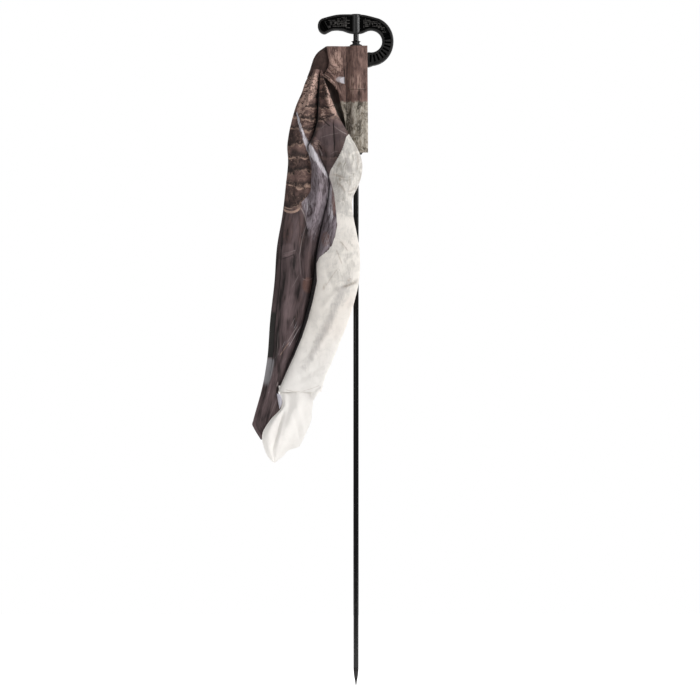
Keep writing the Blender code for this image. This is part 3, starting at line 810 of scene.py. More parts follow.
def handle_outline():
    """The moulding's face: a crowned grip, a hook on the right and a finger scallop on the left."""

    def curve(points, per_span):
        return spline([(x, TOP - below) for x, below in points], per_span)

    crown = curve([(-56.5, 6.8), (-34.0, 1.4), (-9.0, 0.6), (14.0, 1.6), (35.0, 6.6)], 8)
    hook = arc(HOOK_CENTRE, HOOK_OUTER_RADII, 70, -84, 56)
    tip = curve([(24.0, 94.3), (18.5, 94.4), (15.2, 89.5), (15.0, 80.0), (17.0, 72.0)], 6)
    hole = arc(HOOK_CENTRE, (HOOK_INNER_RADIUS, HOOK_INNER_RADIUS), -104, 108, 56)
    under = curve([(13.4, 33.2), (7.0, 34.8), (-7.0, 34.8), (-15.5, 32.8)], 6)
    scallop = curve([(-24.0, 29.8), (-33.5, 28.8), (-43.0, 29.7), (-50.0, 33.0)], 8)
    end = arc((-56.0, TOP - 21.4), (12.3, 14.3), -84, -261, 30)
    return crown + hook + tip + hole + under + scallop + end


def inset(outline, distance_at):
    """Moves each point of a clockwise outline inwards by its own distance."""
    moved = []
    count = len(outline)
    for i, (x, z) in enumerate(outline):
        before, after = outline[i - 1], outline[(i + 1) % count]
        along = (after[0] - before[0], after[1] - before[1])
        length = math.hypot(*along) or 1.0
        distance = distance_at(x, z)
        moved.append((x + along[1] / length * distance, z - along[0] / length * distance))
    return moved


def rim_width(x, z):
    """The smooth rim is wider round the hook than along the grip, and narrow at the hook's tip."""
    wide = 3.2 + 1.2 * min(max((x - 30.0) / 15.0, 0.0), 1.0)
    return min(wide, 2.3 + 0.12 * max(math.hypot(x - 19.0, z - TOP + 86.0) - 16.0, 0.0))


def slot_outline(centre, angle, near, far, width):
    across = (-math.sin(angle), math.cos(angle))
    along = (math.cos(angle), math.sin(angle))
    return [
        (
            centre[0] + along[0] * reach + across[0] * width * side,
            centre[1] + along[1] * reach + across[1] * width * side,
        )
        for reach, side in ((near, -0.5), (far, -0.5), (far, 0.5), (near, 0.5))
    ]


def handle_slots():
    """The slots that leave ribs across the hook and across the grip's end."""
    slots = []
    for k in range(10):
        slots.append(slot_outline(HOOK_CENTRE, math.radians(21 - 12.5 * k), 24.0, 35.4 + 0.2 * k, 3.5))
    for k in range(3):
        slots.append(slot_outline((-58.0 + 4.2 * k, TOP - 20.5), math.radians(118), -8.0, 8.0, 2.2))
    return slots


def inside(point, outline):
    """Whether a point lies in an outline, by counting the edges to its right."""
    x, z = point
    odd = False
    for (x0, z0), (x1, z1) in zip(outline, outline[1:] + outline[:1]):
        if (z0 > z) != (z1 > z) and x < (x1 - x0) * (z - z0) / (z1 - z0) + x0:
            odd = not odd
    return odd


def grip_blocks(field, material):
    """Small raised blocks of mixed sizes that roughen the grip's recessed fields, front and back."""
    chooser = random.Random(11)
    pitch = 2.6
    safe = inset(field, lambda x, z: 1.2)
    points, faces = [], []
    taken = set()
    for col in range(-20, 22):
        for row in range(-6, 15):
            if (col, row) in taken or chooser.random() < 0.34:
                continue
            wide, tall = chooser.choice([(1, 1), (2, 1), (1, 2), (2, 2), (3, 1), (1, 1)])
            cells = {(col + i, row + j) for i in range(wide) for j in range(tall)}
            x0, z0 = col * pitch, TOP - 36.0 + row * pitch
            x1, z1 = x0 + wide * pitch - 0.7, z0 + tall * pitch - 0.7
            corners = [(x0, z0), (x1, z0), (x1, z1), (x0, z1)]
            clear = all(inside(corner, safe) and abs(corner[0]) > BOSS_RADIUS + 1.2 for corner in corners)
            hook_x, hook_z = HOOK_CENTRE
            in_ribs = any(x < -50.5 or x > hook_x and z < hook_z + 0.55 * (x - hook_x) for x, z in corners)
            if cells & taken or not clear or in_ribs:
                continue
            taken |= cells
            rise = chooser.uniform(0.45, 0.95)
            for side in (-1, 1):
                start = len(points)
                floor = side * (HALF_DEPTH - 1.6)
                top = side * (HALF_DEPTH - RECESS + rise)
                chamfer = 0.3
                points += [(x, floor, z) for x, z in corners]
                points += [
                    (x + (chamfer if x == x0 else -chamfer), top, z + (chamfer if z == z0 else -chamfer))
                    for x, z in corners
                ]
                for i in range(4):
                    after = start + (i + 1) % 4
                    faces.append((start + i, after, after + 4, start + i + 4))
                faces.append((start + 4, start + 5, start + 6, start + 7))
                faces.append((start + 3, start + 2, start + 1, start))
    return add_piece("grip_texture", points, faces, material, smooth_angle=20)


def make_grip_body(outline, material):
    """The moulding's body: rounded edges, a smooth rim and a recessed field on both faces."""
    rounding = 2.6

    def ring(width_at, depth):
        return [(x, depth, z) for x, z in inset(outline, width_at)]

    layers = [
        (lambda x, z: rim_width(x, z) + 0.5, HALF_DEPTH - RECESS),
        (lambda x, z: rim_width(x, z) + 0.1, HALF_DEPTH - 0.25),
        (lambda x, z: rim_width(x, z) - 0.15, HALF_DEPTH),
    ]
    for step in range(7):
        angle = math.radians(90 - 15 * step)
        distance = rounding * (1 - math.cos(angle)) * 0.8
        depth = HALF_DEPTH - rounding * (1 - math.sin(angle))
        layers.append((lambda x, z, distance=distance: distance, depth))
    rings = [ring(width_at, -depth) for width_at, depth in layers]
    rings += [ring(width_at, depth) for width_at, depth in reversed(layers)]
    count = len(outline)
    points = [point for each in rings for point in each]
    faces = []
    for level in range(len(rings) - 1):
        for i in range(count):
            a, b = level * count + i, level * count + (i + 1) % count
            faces.append((a, b, b + count, a + count))
    faces.append(tuple(range(count)))
    faces.append(tuple(range(len(points) - 1, len(points) - 1 - count, -1)))
    return add_piece("grip", points, faces, material)


def shade_recesses_smooth_boss(grip, material, shaded_recess, smooth):
    """Paints the recessed floors a matt near-black as painted shade, and gives the boss a smoother surface."""
    grip.data.materials.clear()
    for each in (material, shaded_recess, smooth):
        grip.data.materials.append(each)
    for face in grip.data.polygons:
        face.material_index = 0
        x, y, z = face.center / MM
        depth = HALF_DEPTH - abs(y)
        facing = abs(face.normal.y) > 0.9
        on_boss = math.hypot(x, y) > BOSS_RADIUS - 0.2 and abs(x) < BOSS_RADIUS
        in_texture = -50.5 < x and z > HOOK_CENTRE[1] + 0.4 * (x - HOOK_CENTRE[0])
        if on_boss and abs(face.normal.z) < 0.5:
            face.material_index = 2
        # Painted shade: slot floors and the textured fields' floors take the near-black recess nylon
        elif depth > 3.0 and facing or depth > 1.1 and in_texture and facing:
            face.material_index = 1


def make_handle(material, highlit_nylon, shaded_recess, smooth):
    outline = handle_outline()
    grip = make_grip_body(outline, material)
    field = inset(outline, rim_width)
    for side in (-1, 1):
        depths = sorted((side * (HALF_DEPTH - SLOT_DEPTH), side * (HALF_DEPTH + 3)))
        cut(grip, prisms("slot_cutter", handle_slots(), *depths))
    socket = [
        (0.0, BOSS_BOTTOM - 5),
        (POLE_RADIUS + 0.15, BOSS_BOTTOM - 5),
        (POLE_RADIUS + 0.15, TOP - 9.0),
        (0.0, TOP - 9.0),
    ]
    cut(grip, turned("boss_union", boss_profile(), material), "UNION")
    cut(grip, turned("socket_cutter", socket, material))
    pin = arc((0.0, PIN_HEIGHT), (1.7, 1.7), 0, 345, 23)
    cut(grip, prisms("pin_cutter", [pin], 6.0, BOSS_RADIUS + 3))
    grip.data.shade_smooth()
    grip.data.set_sharp_from_angle(angle=math.radians(32))
    weighted = grip.modifiers.new("weighted", "WEIGHTED_NORMAL")
    weighted.keep_sharp = True
    apply_modifiers(grip)
    shade_recesses_smooth_boss(grip, material, shaded_recess, smooth)
    finish_piece(grip, "stake", "moulded_nylon", "handle")
    # The raised blocks take the lighter nylon as a painted highlight on their relief
    blocks = grip_blocks(field, highlit_nylon)
    finish_piece(blocks, "stake", "moulded_nylon")


def boss_profile():
    """A plain round boss with softened ends."""
    soft = arc((BOSS_RADIUS - 1.6, TOP - 1.6), (1.6, 1.6), 90, 0, 6)
    low = arc((BOSS_RADIUS - 1.2, BOSS_BOTTOM + 1.2), (1.2, 1.2), 0, -90, 5)
    return [(0.0, TOP)] + soft + low + [(0.0, BOSS_BOTTOM)]


# Hardware


def make_pole(material):
    bore = POLE_RADIUS - 1.2
    lip = 0.4
    profile = [
        (bore, SPIKE_HEIGHT),
        (POLE_RADIUS - lip, SPIKE_HEIGHT),
        (POLE_RADIUS, SPIKE_HEIGHT + lip),
        (POLE_RADIUS, TOP - 10.0),
        (bore, TOP - 10.0),
    ]
    finish_piece(turned("pole_tube", profile, material, 96), "stake", "coated_steel", "pole")


def make_spike(material):
    shoulder = SPIKE_HEIGHT - 0.3
    spigot = POLE_RADIUS - 1.5
    flank = [
        (0.6, 1.4), (1.1, 4.4), (2.2, 11.5), (3.4, 18.5), (4.2, 25.5), (POLE_RADIUS - 0.2, shoulder - 1.4)
    ]
    profile = [(0.0, 0.0), (0.35, 0.2)] + spline(flank, 6)
    profile += [(POLE_RADIUS, shoulder - 0.8), (POLE_RADIUS, shoulder), (spigot, shoulder)]
    profile += [(spigot, shoulder + 24.0), (spigot - 0.8, shoulder + 25.0), (0.0, shoulder + 25.0)]
    finish_piece(turned("spike_point", profile, material), "stake", "bare_steel", "ground_spike")


def make_push_nut(name, node, material):
    """A dished spring-steel washer with bent teeth that bite the pole and notches between them."""
    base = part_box(node)[0].z / MM
    teeth = 6
    steps = 16
    rows = [(8.2, 0.0), (7.6, 0.1), (6.8, 0.35), (6.0, 0.75), (5.4, 1.1), (POLE_RADIUS + 0.1, 1.5)]
    points, faces = [], []
    thick = 0.5
    for layer in (0.0, thick):
        for radius, rise in rows:
            for tooth in range(teeth):
                for step in range(steps):
                    share = step / steps
                    notch = max(0.0, 1 - abs(share - 0.5) / 0.14)
                    reach = radius + notch * max(0.0, 6.9 - radius) * 0.85
                    ear = 0.35 * max(0.0, 1 - abs(share) / 0.15) if radius > 8 else 0.0
                    angle = 2 * math.pi * (tooth + share) / teeth
                    height = base + rise * (1 - 0.6 * notch) + layer
                    points.append(((reach + ear) * math.cos(angle), (reach + ear) * math.sin(angle), height))
    around = teeth * steps
    layers = len(rows)

    def at(layer, row, step):
        return (layer * layers + row) * around + step % around

    for step in range(around):
        for row in range(layers - 1):
            under = [at(0, row, step), at(0, row, step + 1), at(0, row + 1, step + 1), at(0, row + 1, step)]
            over = [at(1, row, step), at(1, row + 1, step), at(1, row + 1, step + 1), at(1, row, step + 1)]
            faces += [tuple(under), tuple(over)]
        for row in (0, layers - 1):
            faces.append((at(0, row, step), at(1, row, step), at(1, row, step + 1), at(0, row, step + 1)))
    finish_piece(add_piece(name, points, faces, material, 50), "stake", "blackened_steel", node)


def make_bushing(name, node, tube_end, outwards, material):
    """A flanged bushing with a rounded shoulder and a waisted neck."""
    plug = TUBE_RADIUS - 1.8
    bore = POLE_RADIUS + 0.1
    steps = [(bore, -14.0), (plug - 0.8, -14.0), (plug, -13.0), (plug, 0.3), (TUBE_RADIUS - 0.2, 0.3)]
    steps += [(TUBE_RADIUS, 0.6), (TUBE_RADIUS, 1.4), (10.6, 2.0), (9.6, 2.6), (8.2, 3.1), (6.9, 3.7)]
    steps += [(6.3, 4.4), (6.1, 5.2), (6.3, 5.9), (6.0, 6.4), (bore, 6.4)]
    profile = [(radius, tube_end + outwards * step) for radius, step in steps]
    finish_piece(turned(name, profile, material), "sleeve", "bushing_plastic", node)


def make_washer(name, node, material):
    low, high = (corner.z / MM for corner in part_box(node))
    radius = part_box(node)[1].x / MM
    profile = [(POLE_RADIUS + 0.1, low), (radius - 0.2, low), (radius, low + 0.2)]
    profile += [(radius, high - 0.2), (radius - 0.2, high), (POLE_RADIUS + 0.1, high)]
    finish_piece(turned(name, profile, material), "stake", "bushing_plastic", node)


def make_pin(material):
    """The slotted spring pin at the back of the boss."""
    outer = arc((0.0, PIN_HEIGHT), (1.5, 1.5), 110, 430, 28)
    inner = arc((0.0, PIN_HEIGHT), (1.0, 1.0), 430, 110, 28)
    pin = prisms("spring_pin", [outer + inner], -6.2, BOSS_RADIUS - 0.6, material)
    finish_piece(pin, "stake", "blackened_steel", "handle_spring_pin")


# The wing print's plain masks, which every piece with that print carries; several paint shade, highlights or
# sheen instead of print
WING_MASKS = (
    "pale", "crease", "covert", "frost_and_highlight", "tan", "primary", "shafts", "rust", "olive", "grey", "marble"
)
WING_MASKS += ("dark", "smoke", "dapple", "bars", "warm", "tufts", "lilac")


# Cloth lofting


def follow(line, drops):
    """The x and y of a fold line, a list of (drop, x, y), at each drop, through a smooth curve."""
    line = np.array(line, float)
    t = line[:, 0]
    slopes = np.zeros((len(line), 2))
    steps = np.diff(t)[:, None]
    rises = np.diff(line[:, 1:], axis=0) / steps
    slopes[1:-1] = (rises[:-1] * steps[1:] + rises[1:] * steps[:-1]) / (steps[:-1] + steps[1:])
    slopes[0], slopes[-1] = rises[0], rises[-1]
    drops = np.clip(drops, t[0], t[-1])
    span = np.clip(np.searchsorted(t, drops, side="right") - 1, 0, len(t) - 2)
    width = (t[span + 1] - t[span])[:, None]
    s = ((drops - t[span])[:, None]) / width
    a, b = line[span, 1:], line[span + 1, 1:]
    da, db = slopes[span] * width, slopes[span + 1] * width
    return (
        a * (2 * s**3 - 3 * s**2 + 1)
        + da * (s**3 - 2 * s**2 + s)
        + b * (-2 * s**3 + 3 * s**2)
        + db * (s**3 - s**2)
    )


def loft(lines, drops, lane_steps=LANE_STEPS, softness=None):
    """Rows of points across fold lines: one row for each drop, and a smooth section across the lines.

    softness gives each line's roundness, 1 for a soft fold and 0 for a sharp crease.
    """
    tracks = np.array([follow(line, drops) for line in lines])
    count = len(lines)
    softness = np.ones(count) if softness is None else np.array(softness, float)
    chords = np.linalg.norm(np.diff(tracks, axis=0), axis=2) + 1e-6
    directions = np.diff(tracks, axis=0) / chords[:, :, None]
    tangents = np.zeros_like(tracks)
    tangents[0], tangents[-1] = directions[0], directions[-1]
    before, after = chords[:-1, :, None], chords[1:, :, None]
    tangents[1:-1] = (directions[:-1] * after + directions[1:] * before) / (before + after)
    tangents *= softness[:, None, None]
    columns = []
    lanes = []
    for lane in range(count - 1):
        last = lane == count - 2
        for step in range(lane_steps + (1 if last else 0)):
            s = step / lane_steps
            chord = chords[lane][:, None]
            columns.append(
                tracks[lane] * (2 * s**3 - 3 * s**2 + 1)
                + tangents[lane] * chord * (s**3 - 2 * s**2 + s)
                + tracks[lane + 1] * (-2 * s**3 + 3 * s**2)
                + tangents[lane + 1] * chord * (s**3 - s**2)
            )
            lanes.append(lane + s)
    flat = np.array(columns).transpose(1, 0, 2)
    grid = np.zeros((len(drops), len(columns), 3))
    grid[:, :, :2] = flat
    grid[:, :, 2] = SLEEVE_TOP - np.array(drops)[:, None]
    return grid, np.array(lanes)


def ridge(grid, start, end, width, height, sharp=2.0):
    """Raises or sinks a crease along a line of (x, drop) points seen from the front, fading at its ends."""
    a = np.array([start[0], SLEEVE_TOP - start[1]])
    b = np.array([end[0], SLEEVE_TOP - end[1]])
    along = b - a
    length = np.linalg.norm(along)
    offset = grid[:, :, [0, 2]] - a
    share = offset @ along / length**2
    aside = np.abs(offset[:, :, 0] * along[1] - offset[:, :, 1] * along[0]) / length
    fade = np.clip(np.minimum(share, 1 - share) * 4 + 0.35, 0, 1)
    fade = fade * fade * (3 - 2 * fade)
    grid[:, :, 1] -= height * fade * np.exp(-((aside / width) ** sharp))


def rumple(grid, size, height, seed=0.0, stretch=1.0):
    """Small uneven waves all over a cloth, along its own normals in plan."""
    rows, columns, _ = grid.shape
    for row in range(rows):
        for column in range(columns):
            x, y, z = grid[row, column]
            place = Vector((x / size, y / size + seed, z / size / stretch))
            grid[row, column, 1] += height * noise.noise(place)


def cloth_attributes(piece, grid, masks):
    """Stores what a print reads: rest place, flat coordinates in metres and any masks."""
    rows, columns, _ = grid.shape
    across = np.linalg.norm(np.diff(grid[:, :, :2], axis=1), axis=2)
    u = np.zeros((rows, columns))
    u[:, 1:] = np.cumsum(across, axis=1)
    v = SLEEVE_TOP - grid[:, :, 2]
    flat = np.stack([u, v, np.zeros_like(u)], axis=2) * MM
    vectors = {"rest": grid * MM, "flat": flat}
    for name, values in {**vectors, **masks}.items():
        kind = "FLOAT_VECTOR" if values.ndim == 3 else "FLOAT"
        attribute = piece.data.attributes.new(name, kind, "POINT")
        key = "vector" if values.ndim == 3 else "value"
        attribute.data.foreach_set(key, values.reshape(-1).astype(np.float32))


def cloth_piece(name, grid, material, masks=None, keep=None):
    """A sheet from a grid of points, with a print's attributes and a thin cloth's thickness."""
    rows, columns, _ = grid.shape
    faces = []
    for row in range(rows - 1):
        for column in range(columns - 1):
            if keep is not None and not keep[row, column]:
                continue
            corner = row * columns + column
            faces.append((corner, corner + columns, corner + columns + 1, corner + 1))
    mesh = bpy.data.meshes.new(name)
    mesh.from_pydata([tuple(point) for point in grid.reshape(-1, 3) * MM], [], faces)
    piece = bpy.data.objects.new(name, mesh)
    bpy.context.scene.collection.objects.link(piece)
    mesh.materials.append(material)
    cloth_attributes(piece, grid, masks or {})
    tidy = bmesh.new()
    tidy.from_mesh(mesh)
    bmesh.ops.delete(tidy, geom=[v for v in tidy.verts if not v.link_faces], context="VERTS")
    tidy.to_mesh(mesh)
    tidy.free()
    thickness = piece.modifiers.new("thickness", "SOLIDIFY")
    thickness.thickness = CLOTH_THICKNESS * MM
    thickness.offset = 0.0
    apply_modifiers(piece)
    piece.data.shade_smooth()
    piece.data.set_sharp_from_angle(angle=math.radians(70))
    return piece


def soft_step(values, low, high):
    share = np.clip((values - low) / (high - low), 0, 1)
    return share * share * (3 - 2 * share)


def spot(grid, x, drop, half_width, half_height, lean=0.0):
    """A soft oval mask, seen from the front, that leans to the right going down by lean."""
    dx = grid[:, :, 0] - x
    dd = SLEEVE_TOP - grid[:, :, 2] - drop
    radius = np.sqrt(((dx - dd * lean) / half_width) ** 2 + (dd / half_height) ** 2)
    return 1 - soft_step(radius, 0.6, 1.3)


def drawn(grid, strokes):
    """How strongly a set of broad strokes covers each point of a cloth."""
    x, drops = grid[:, :, 0], SLEEVE_TOP - grid[:, :, 2]
    covered = np.zeros(x.shape)
    for start, end, width, bow, strength in strokes:
        dx, dz = end[0] - start[0], end[1] - start[1]
        length = math.hypot(dx, dz)
        along = ((x - start[0]) * dx + (drops - start[1]) * dz) / length**2
        aside = ((x - start[0]) * -dz + (drops - start[1]) * dx) / length + along * (1 - along) * 4 * bow
        ends = soft_step(along, -0.05, 0.2) * (1 - soft_step(along, 0.8, 1.05))
        covered = np.maximum(covered, np.exp(-((aside / (width * 0.6)) ** 2)) * ends * strength)
    return covered


def stitches(name, path, material, spacing=2.6, length=2.0, radius=0.28):
    """Short threads laid end to end along a path of points, each a six-sided spindle."""
    path = np.array(path, float)
    steps = np.linalg.norm(np.diff(path, axis=0), axis=1)
    travelled = np.concatenate([[0.0], np.cumsum(steps)])
    points, faces = [], []
    sides = 6
    position = spacing / 2
    while position + length < travelled[-1]:
        ends = [
            np.array([np.interp(position + length * share, travelled, path[:, axis]) for axis in range(3)])
            for share in (0.0, 0.2, 0.8, 1.0)
        ]
        along = Vector(ends[-1] - ends[0]).normalized()
        side = along.cross(Vector((0, 1, 0))).normalized()
        out = side.cross(along)
        start = len(points)
        for place, size, lift in zip(ends, (0.35, 1.0, 1.0, 0.35), (0.5, 0.0, 0.0, 0.5)):
            for step in range(sides):
                angle = 2 * math.pi * step / sides
                offset = side * math.cos(angle) + out * math.sin(angle)
                centre = Vector(place) + Vector((0, radius * lift, 0))
                points.append(tuple(centre + offset * radius * size))
        for band in range(3):
            for step in range(sides):
                a = start + band * sides + step
                b = start + band * sides + (step + 1) % sides
                faces.append((a, b, b + sides, a + sides))
        faces.append(tuple(range(start + sides - 1, start - 1, -1)))
        faces.append(tuple(range(start + 3 * sides, start + 4 * sides)))
        position += spacing
    return add_piece(name, points, faces, material, 60)


def root_masks(grid, light=None, frost_and_highlight=None, shade=None):
    """The root print's masks, which paint highlights and shade, empty where none is given."""
    given = {"light": light, "frost_and_highlight": frost_and_highlight, "shade": shade}
    return {name: np.zeros(grid.shape[:2]) if mask is None else mask for name, mask in given.items()}


def white_masks(grid, **chosen):
    """The wing print's masks for a piece that is all white, with those that differ given by name."""
    shape = grid.shape[:2]
    masks = {name: np.zeros(shape) for name in WING_MASKS}
    masks |= {"snow": np.ones(shape), "white": np.ones(shape), "feather": np.zeros(grid.shape)}
    return masks | chosen


# Root cloth, on the sleeve

# The root patch's free edge, which runs from the top edge to the gather and down to the hoist
ROOT_EDGE = [
    (0.0, -52.0), (14.0, -50.0), (27.0, -47.6), (37.0, -49.0), (46.0, -54.0), (50.0, -56.0),
    (58.0, -48.0), (68.0, -38.5), (81.0, -31.5), (100.0, -27.5), (126.0, -21.0), (140.0, -18.4),
    (SLEEVE_LENGTH, -18.0),
]


def make_root_patch(material):
    """The lit patch from hoist to shoulder, with folds that fan from the gather and an edge turned back."""
    edge = [(d, x, -3.4) for d, x in ROOT_EDGE]
    back = [(d, x - 0.4, 0.4) for d, x in ROOT_EDGE]
    tail = [(d, min(x + 5.0, -16.0), 2.4) for d, x in ROOT_EDGE]
    middle = [(d, x + (HOIST_X - x) * 0.34, -5.2 + 2.8 * min(d / 140.0, 1.0)) for d, x in ROOT_EDGE]
    near = [(d, x + (HOIST_X - x) * 0.72, -3.6 + 1.6 * min(d / 140.0, 1.0)) for d, x in ROOT_EDGE]
    hoist = [(d, HOIST_X, -1.9) for d, x in ROOT_EDGE]
    drops = np.arange(0.4, SLEEVE_LENGTH - 0.2, ROW_STEP)
    grid, _ = loft([tail, back, edge, middle, near, hoist], drops, 10, [1, 0.6, 0.6, 1, 1, 1])
    for start, end, width, height in (
        ((-50.0, 38.0), (-35.0, 54.0), 2.6, -1.8),
        ((-51.0, 44.0), (-36.0, 60.0), 2.4, 1.5),
        ((-46.0, 30.0), (-24.0, 50.0), 3.6, 1.2),
        ((-44.0, 22.0), (-20.0, 44.0), 3.2, -0.9),
        ((-40.0, 8.0), (-22.0, 40.0), 5.0, 1.3),
        ((-19.0, 36.0), (-19.0, 70.0), 1.6, -1.6),
        ((-34.0, 76.0), (-22.0, 96.0), 3.0, 1.0),
        ((-30.0, 66.0), (-20.0, 66.0), 3.0, 1.4),
    ):
        ridge(grid, start, end, width, height * 1.9)
    rumple(grid, 16.0, 0.9, 3.0)
    # Painted highlights: a bluish-white sheen below the gather and a lit upper patch; painted shade in the
    # crease by the hoist
    masks = {
        "frost_and_highlight": np.maximum(
            spot(grid, -19.5, 61.0, 11.0, 6.4, -0.2) * 1.15,
            spot(grid, -28.0, 60.0, 10.0, 6.5) * 0.6,
        ),
        "light": spot(grid, -36.0, 30.0, 14.0, 26.0),
        "shade": spot(grid, -19.5, 50.0, 2.4, 16.0) * 0.5,
    }
    patch = cloth_piece("root_patch", grid, material, masks)
    finish_piece(patch, "sleeve", "brown_cloth", "root_gusset", "top_hem", "shoulder_batten")


SHOULDER_EDGE = [
    (0.0, -53.0), (10.0, -67.0), (21.0, -75.0), (32.0, -79.0), (42.0, -82.0), (50.0, -85.0),
    (60.0, -89.0),
]


def make_shoulder(material, thread):
    """The plain dark cloth behind the root patch, with a hem along its slanted edge."""
    rim = [(d, x, 0.2) for d, x in SHOULDER_EDGE]
    hem = [(d, min(x + 5.0, -48.0), -1.0) for d, x in SHOULDER_EDGE]
    bulge = [(d, -60.0 - d * 0.12 if d > 5 else -49.0, -0.6) for d, x in SHOULDER_EDGE]
    far = [(d, -45.0, 2.6) for d, x in SHOULDER_EDGE]
    drops = np.arange(0.4, 58.0, ROW_STEP)
    grid, _ = loft([rim, hem, bulge, far], drops, 10)
    ridge(grid, (-51.0, 4.0), (-72.0, 24.0), 0.9, -0.8)
    ridge(grid, (-62.0, 14.0), (-60.0, 44.0), 4.0, 0.8)
    ridge(grid, (-70.0, 22.0), (-74.0, 48.0), 3.0, -0.8)
    rumple(grid, 14.0, 0.7, 8.0)
    shoulder = cloth_piece("shoulder_panel", grid, material)
    finish_piece(shoulder, "sleeve", "brown_cloth", "shoulder_cloth")
    path = [(x + 4.0, -1.6, SLEEVE_TOP - d - 1.5) for d, x in SHOULDER_EDGE[:6]]
    row = stitches("shoulder_stitches", spline(path, 6), thread)
    finish_piece(row, "sleeve", "binding_tape")


def pocket_section(angle):
    return POCKET_RADIUS * math.cos(angle), POCKET_RADIUS * math.sin(angle)


def make_pocket(material):
    """The pocket round the tube, drawn together into a flat seam at the hoist."""
    plan = [(HOIST_X - 2.4, -1.3), (HOIST_X + 1.4, -1.4), (-14.4, -2.0)]
    plan += [pocket_section(math.radians(a)) for a in range(-152, 153, 8)]
    plan += [(-14.4, 2.0), (HOIST_X + 1.4, 1.2), (HOIST_X - 2.4, 1.1)]
    drops = np.arange(0.2, SLEEVE_LENGTH + 0.1, ROW_STEP)
    lines = [[(0.0, x, y), (SLEEVE_LENGTH, x, y)] for x, y in plan]
    grid, _ = loft(lines, drops, 3)
    rumple(grid, 24.0, 0.7, 1.0, stretch=3.0)
    ridge(grid, (-6.0, 30.0), (-3.0, 100.0), 2.2, 0.5)
    ridge(grid, (-11.5, 60.0), (-10.0, 150.0), 1.6, -0.6)
    # Painted highlight down the pocket's front
    masks = root_masks(grid, light=spot(grid, -7.0, 72.0, 6.0, 22.0))
    pocket = cloth_piece("pocket", grid, material, masks)
    finish_piece(pocket, "sleeve", "brown_cloth", "sleeve_pocket", "hoist_binding")


def make_pocket_fold(material):
    """The pocket's loose double fold, which hangs in front of the hook's tip."""
    front = -POCKET_RADIUS - 0.9
    edge = FOLD_X + 0.2
    lines = [
        [(0.0, 2.0, front + 0.2), (SLEEVE_LENGTH, 2.0, front + 0.2)],
        [(0.0, 6.0, front + 0.1), (SLEEVE_LENGTH, 6.4, front - 0.1)],
        [(0.0, 13.0, front + 0.4), (90.0, 12.6, front - 0.1), (SLEEVE_LENGTH, 13.4, front + 0.2)],
        [
            (0.0, edge - 1.6, front + 1.1),
            (100.0, edge - 1.0, front + 0.9),
            (SLEEVE_LENGTH, edge - 0.6, front + 1.0),
        ],
        [
            (0.0, edge - 1.0, front + 1.9),
            (100.0, edge - 0.3, front + 1.9),
            (SLEEVE_LENGTH, edge + 0.1, front + 1.9),
        ],
        [(0.0, edge - 2.4, front + 2.6), (SLEEVE_LENGTH, edge - 1.6, front + 2.6)],
        [(0.0, 12.0, front + 2.4), (SLEEVE_LENGTH, 12.0, front + 2.4)],
    ]
    drops = np.arange(0.2, SLEEVE_LENGTH + 0.1, ROW_STEP)
    grid, _ = loft(lines, drops, 6)
    ridge(grid, (8.0, 20.0), (9.0, 120.0), 1.8, 0.5)
    ridge(grid, (15.0, 60.0), (13.0, 185.0), 2.0, -0.5)
    # Painted shade in a thin line down the flap, and a painted highlight on its front
    shade = spot(grid, 5.5, 112.0, 0.8, 40.0) * 0.4
    masks = root_masks(grid, light=spot(grid, 4.0, 66.0, 7.0, 20.0), shade=shade)
    fold = cloth_piece("pocket_flap", grid, material, masks)
    finish_piece(fold, "sleeve", "brown_cloth", "pocket_fold")
    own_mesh(fold)


def make_root_seams(light_thread, dark_thread):
    """Rows of stitching down the hoist seam and across the pocket and its flap."""
    front = -POCKET_RADIUS - 1.3
    for name, x in (("hoist_stitches_left", HOIST_X - 0.6), ("hoist_stitches_right", HOIST_X + 3.0)):
        path = [(x, -2.2, SLEEVE_TOP - 2.0), (x, -2.2, SLEEVE_BOTTOM + 2.0)]
        finish_piece(stitches(name, path, dark_thread), "sleeve", "binding_tape")
    level = SLEEVE_TOP - 77.0
    outside = POCKET_RADIUS * 1.03
    across = [(-14.0, -2.6, level)]
    across += [(outside * math.cos(a), outside * math.sin(a), level) for a in np.radians(range(-150, -84, 6))]
    pocket_row = stitches("pocket_cross_stitches", across, light_thread, radius=0.3)
    finish_piece(pocket_row, "sleeve", "binding_tape")
    right = [(3.0, front - 0.2, level), (12.0, front - 0.2, level - 0.3)]
    right.append((FOLD_X - 1.2, front + 0.9, level - 0.5))
    flap_row = stitches("flap_cross_stitches", right, light_thread, radius=0.3)
    finish_piece(flap_row, "sleeve", "binding_tape")
    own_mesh(flap_row)


# Wing cloth
# Each fold line runs down the wing as (drop, x, y). Crests come towards the viewer, valleys go back.

LEADING = [
    (46.0, -80.0, -3.0), (64.0, -90.0, -5.0), (82.0, -96.0, -7.0), (105.0, -106.0, -8.0),
    (132.0, -114.0, -9.0), (159.0, -120.0, -9.0), (180.0, -122.5, -8.0), (203.0, -121.0, -8.0),
    (248.0, -125.0, -8.0), (301.0, -131.0, -9.0), (360.0, -141.0, -9.0), (417.0, -145.0, -9.0),
    (489.0, -153.0, -9.0), (564.0, -159.0, -9.0), (617.0, -169.0, -10.0), (640.0, -175.4, -10.0),
    (668.0, -183.2, -10.0), (675.5, -185.0, -10.0), (681.0, -182.4, -10.0), (704.0, -168.4, -11.0),
]
HEM_CREASE = [
    (46.0, -77.0, -4.5), (82.0, -89.0, -9.5), (132.0, -107.0, -12.5), (180.0, -115.0, -12.0),
    (248.0, -117.5, -12.0), (360.0, -133.0, -12.5), (417.0, -135.5, -11.5), (489.0, -143.5, -12.0),
    (564.0, -149.0, -12.5), (617.0, -160.0, -12.5), (675.5, -176.0, -12.0), (704.0, -167.5, -12.0),
]
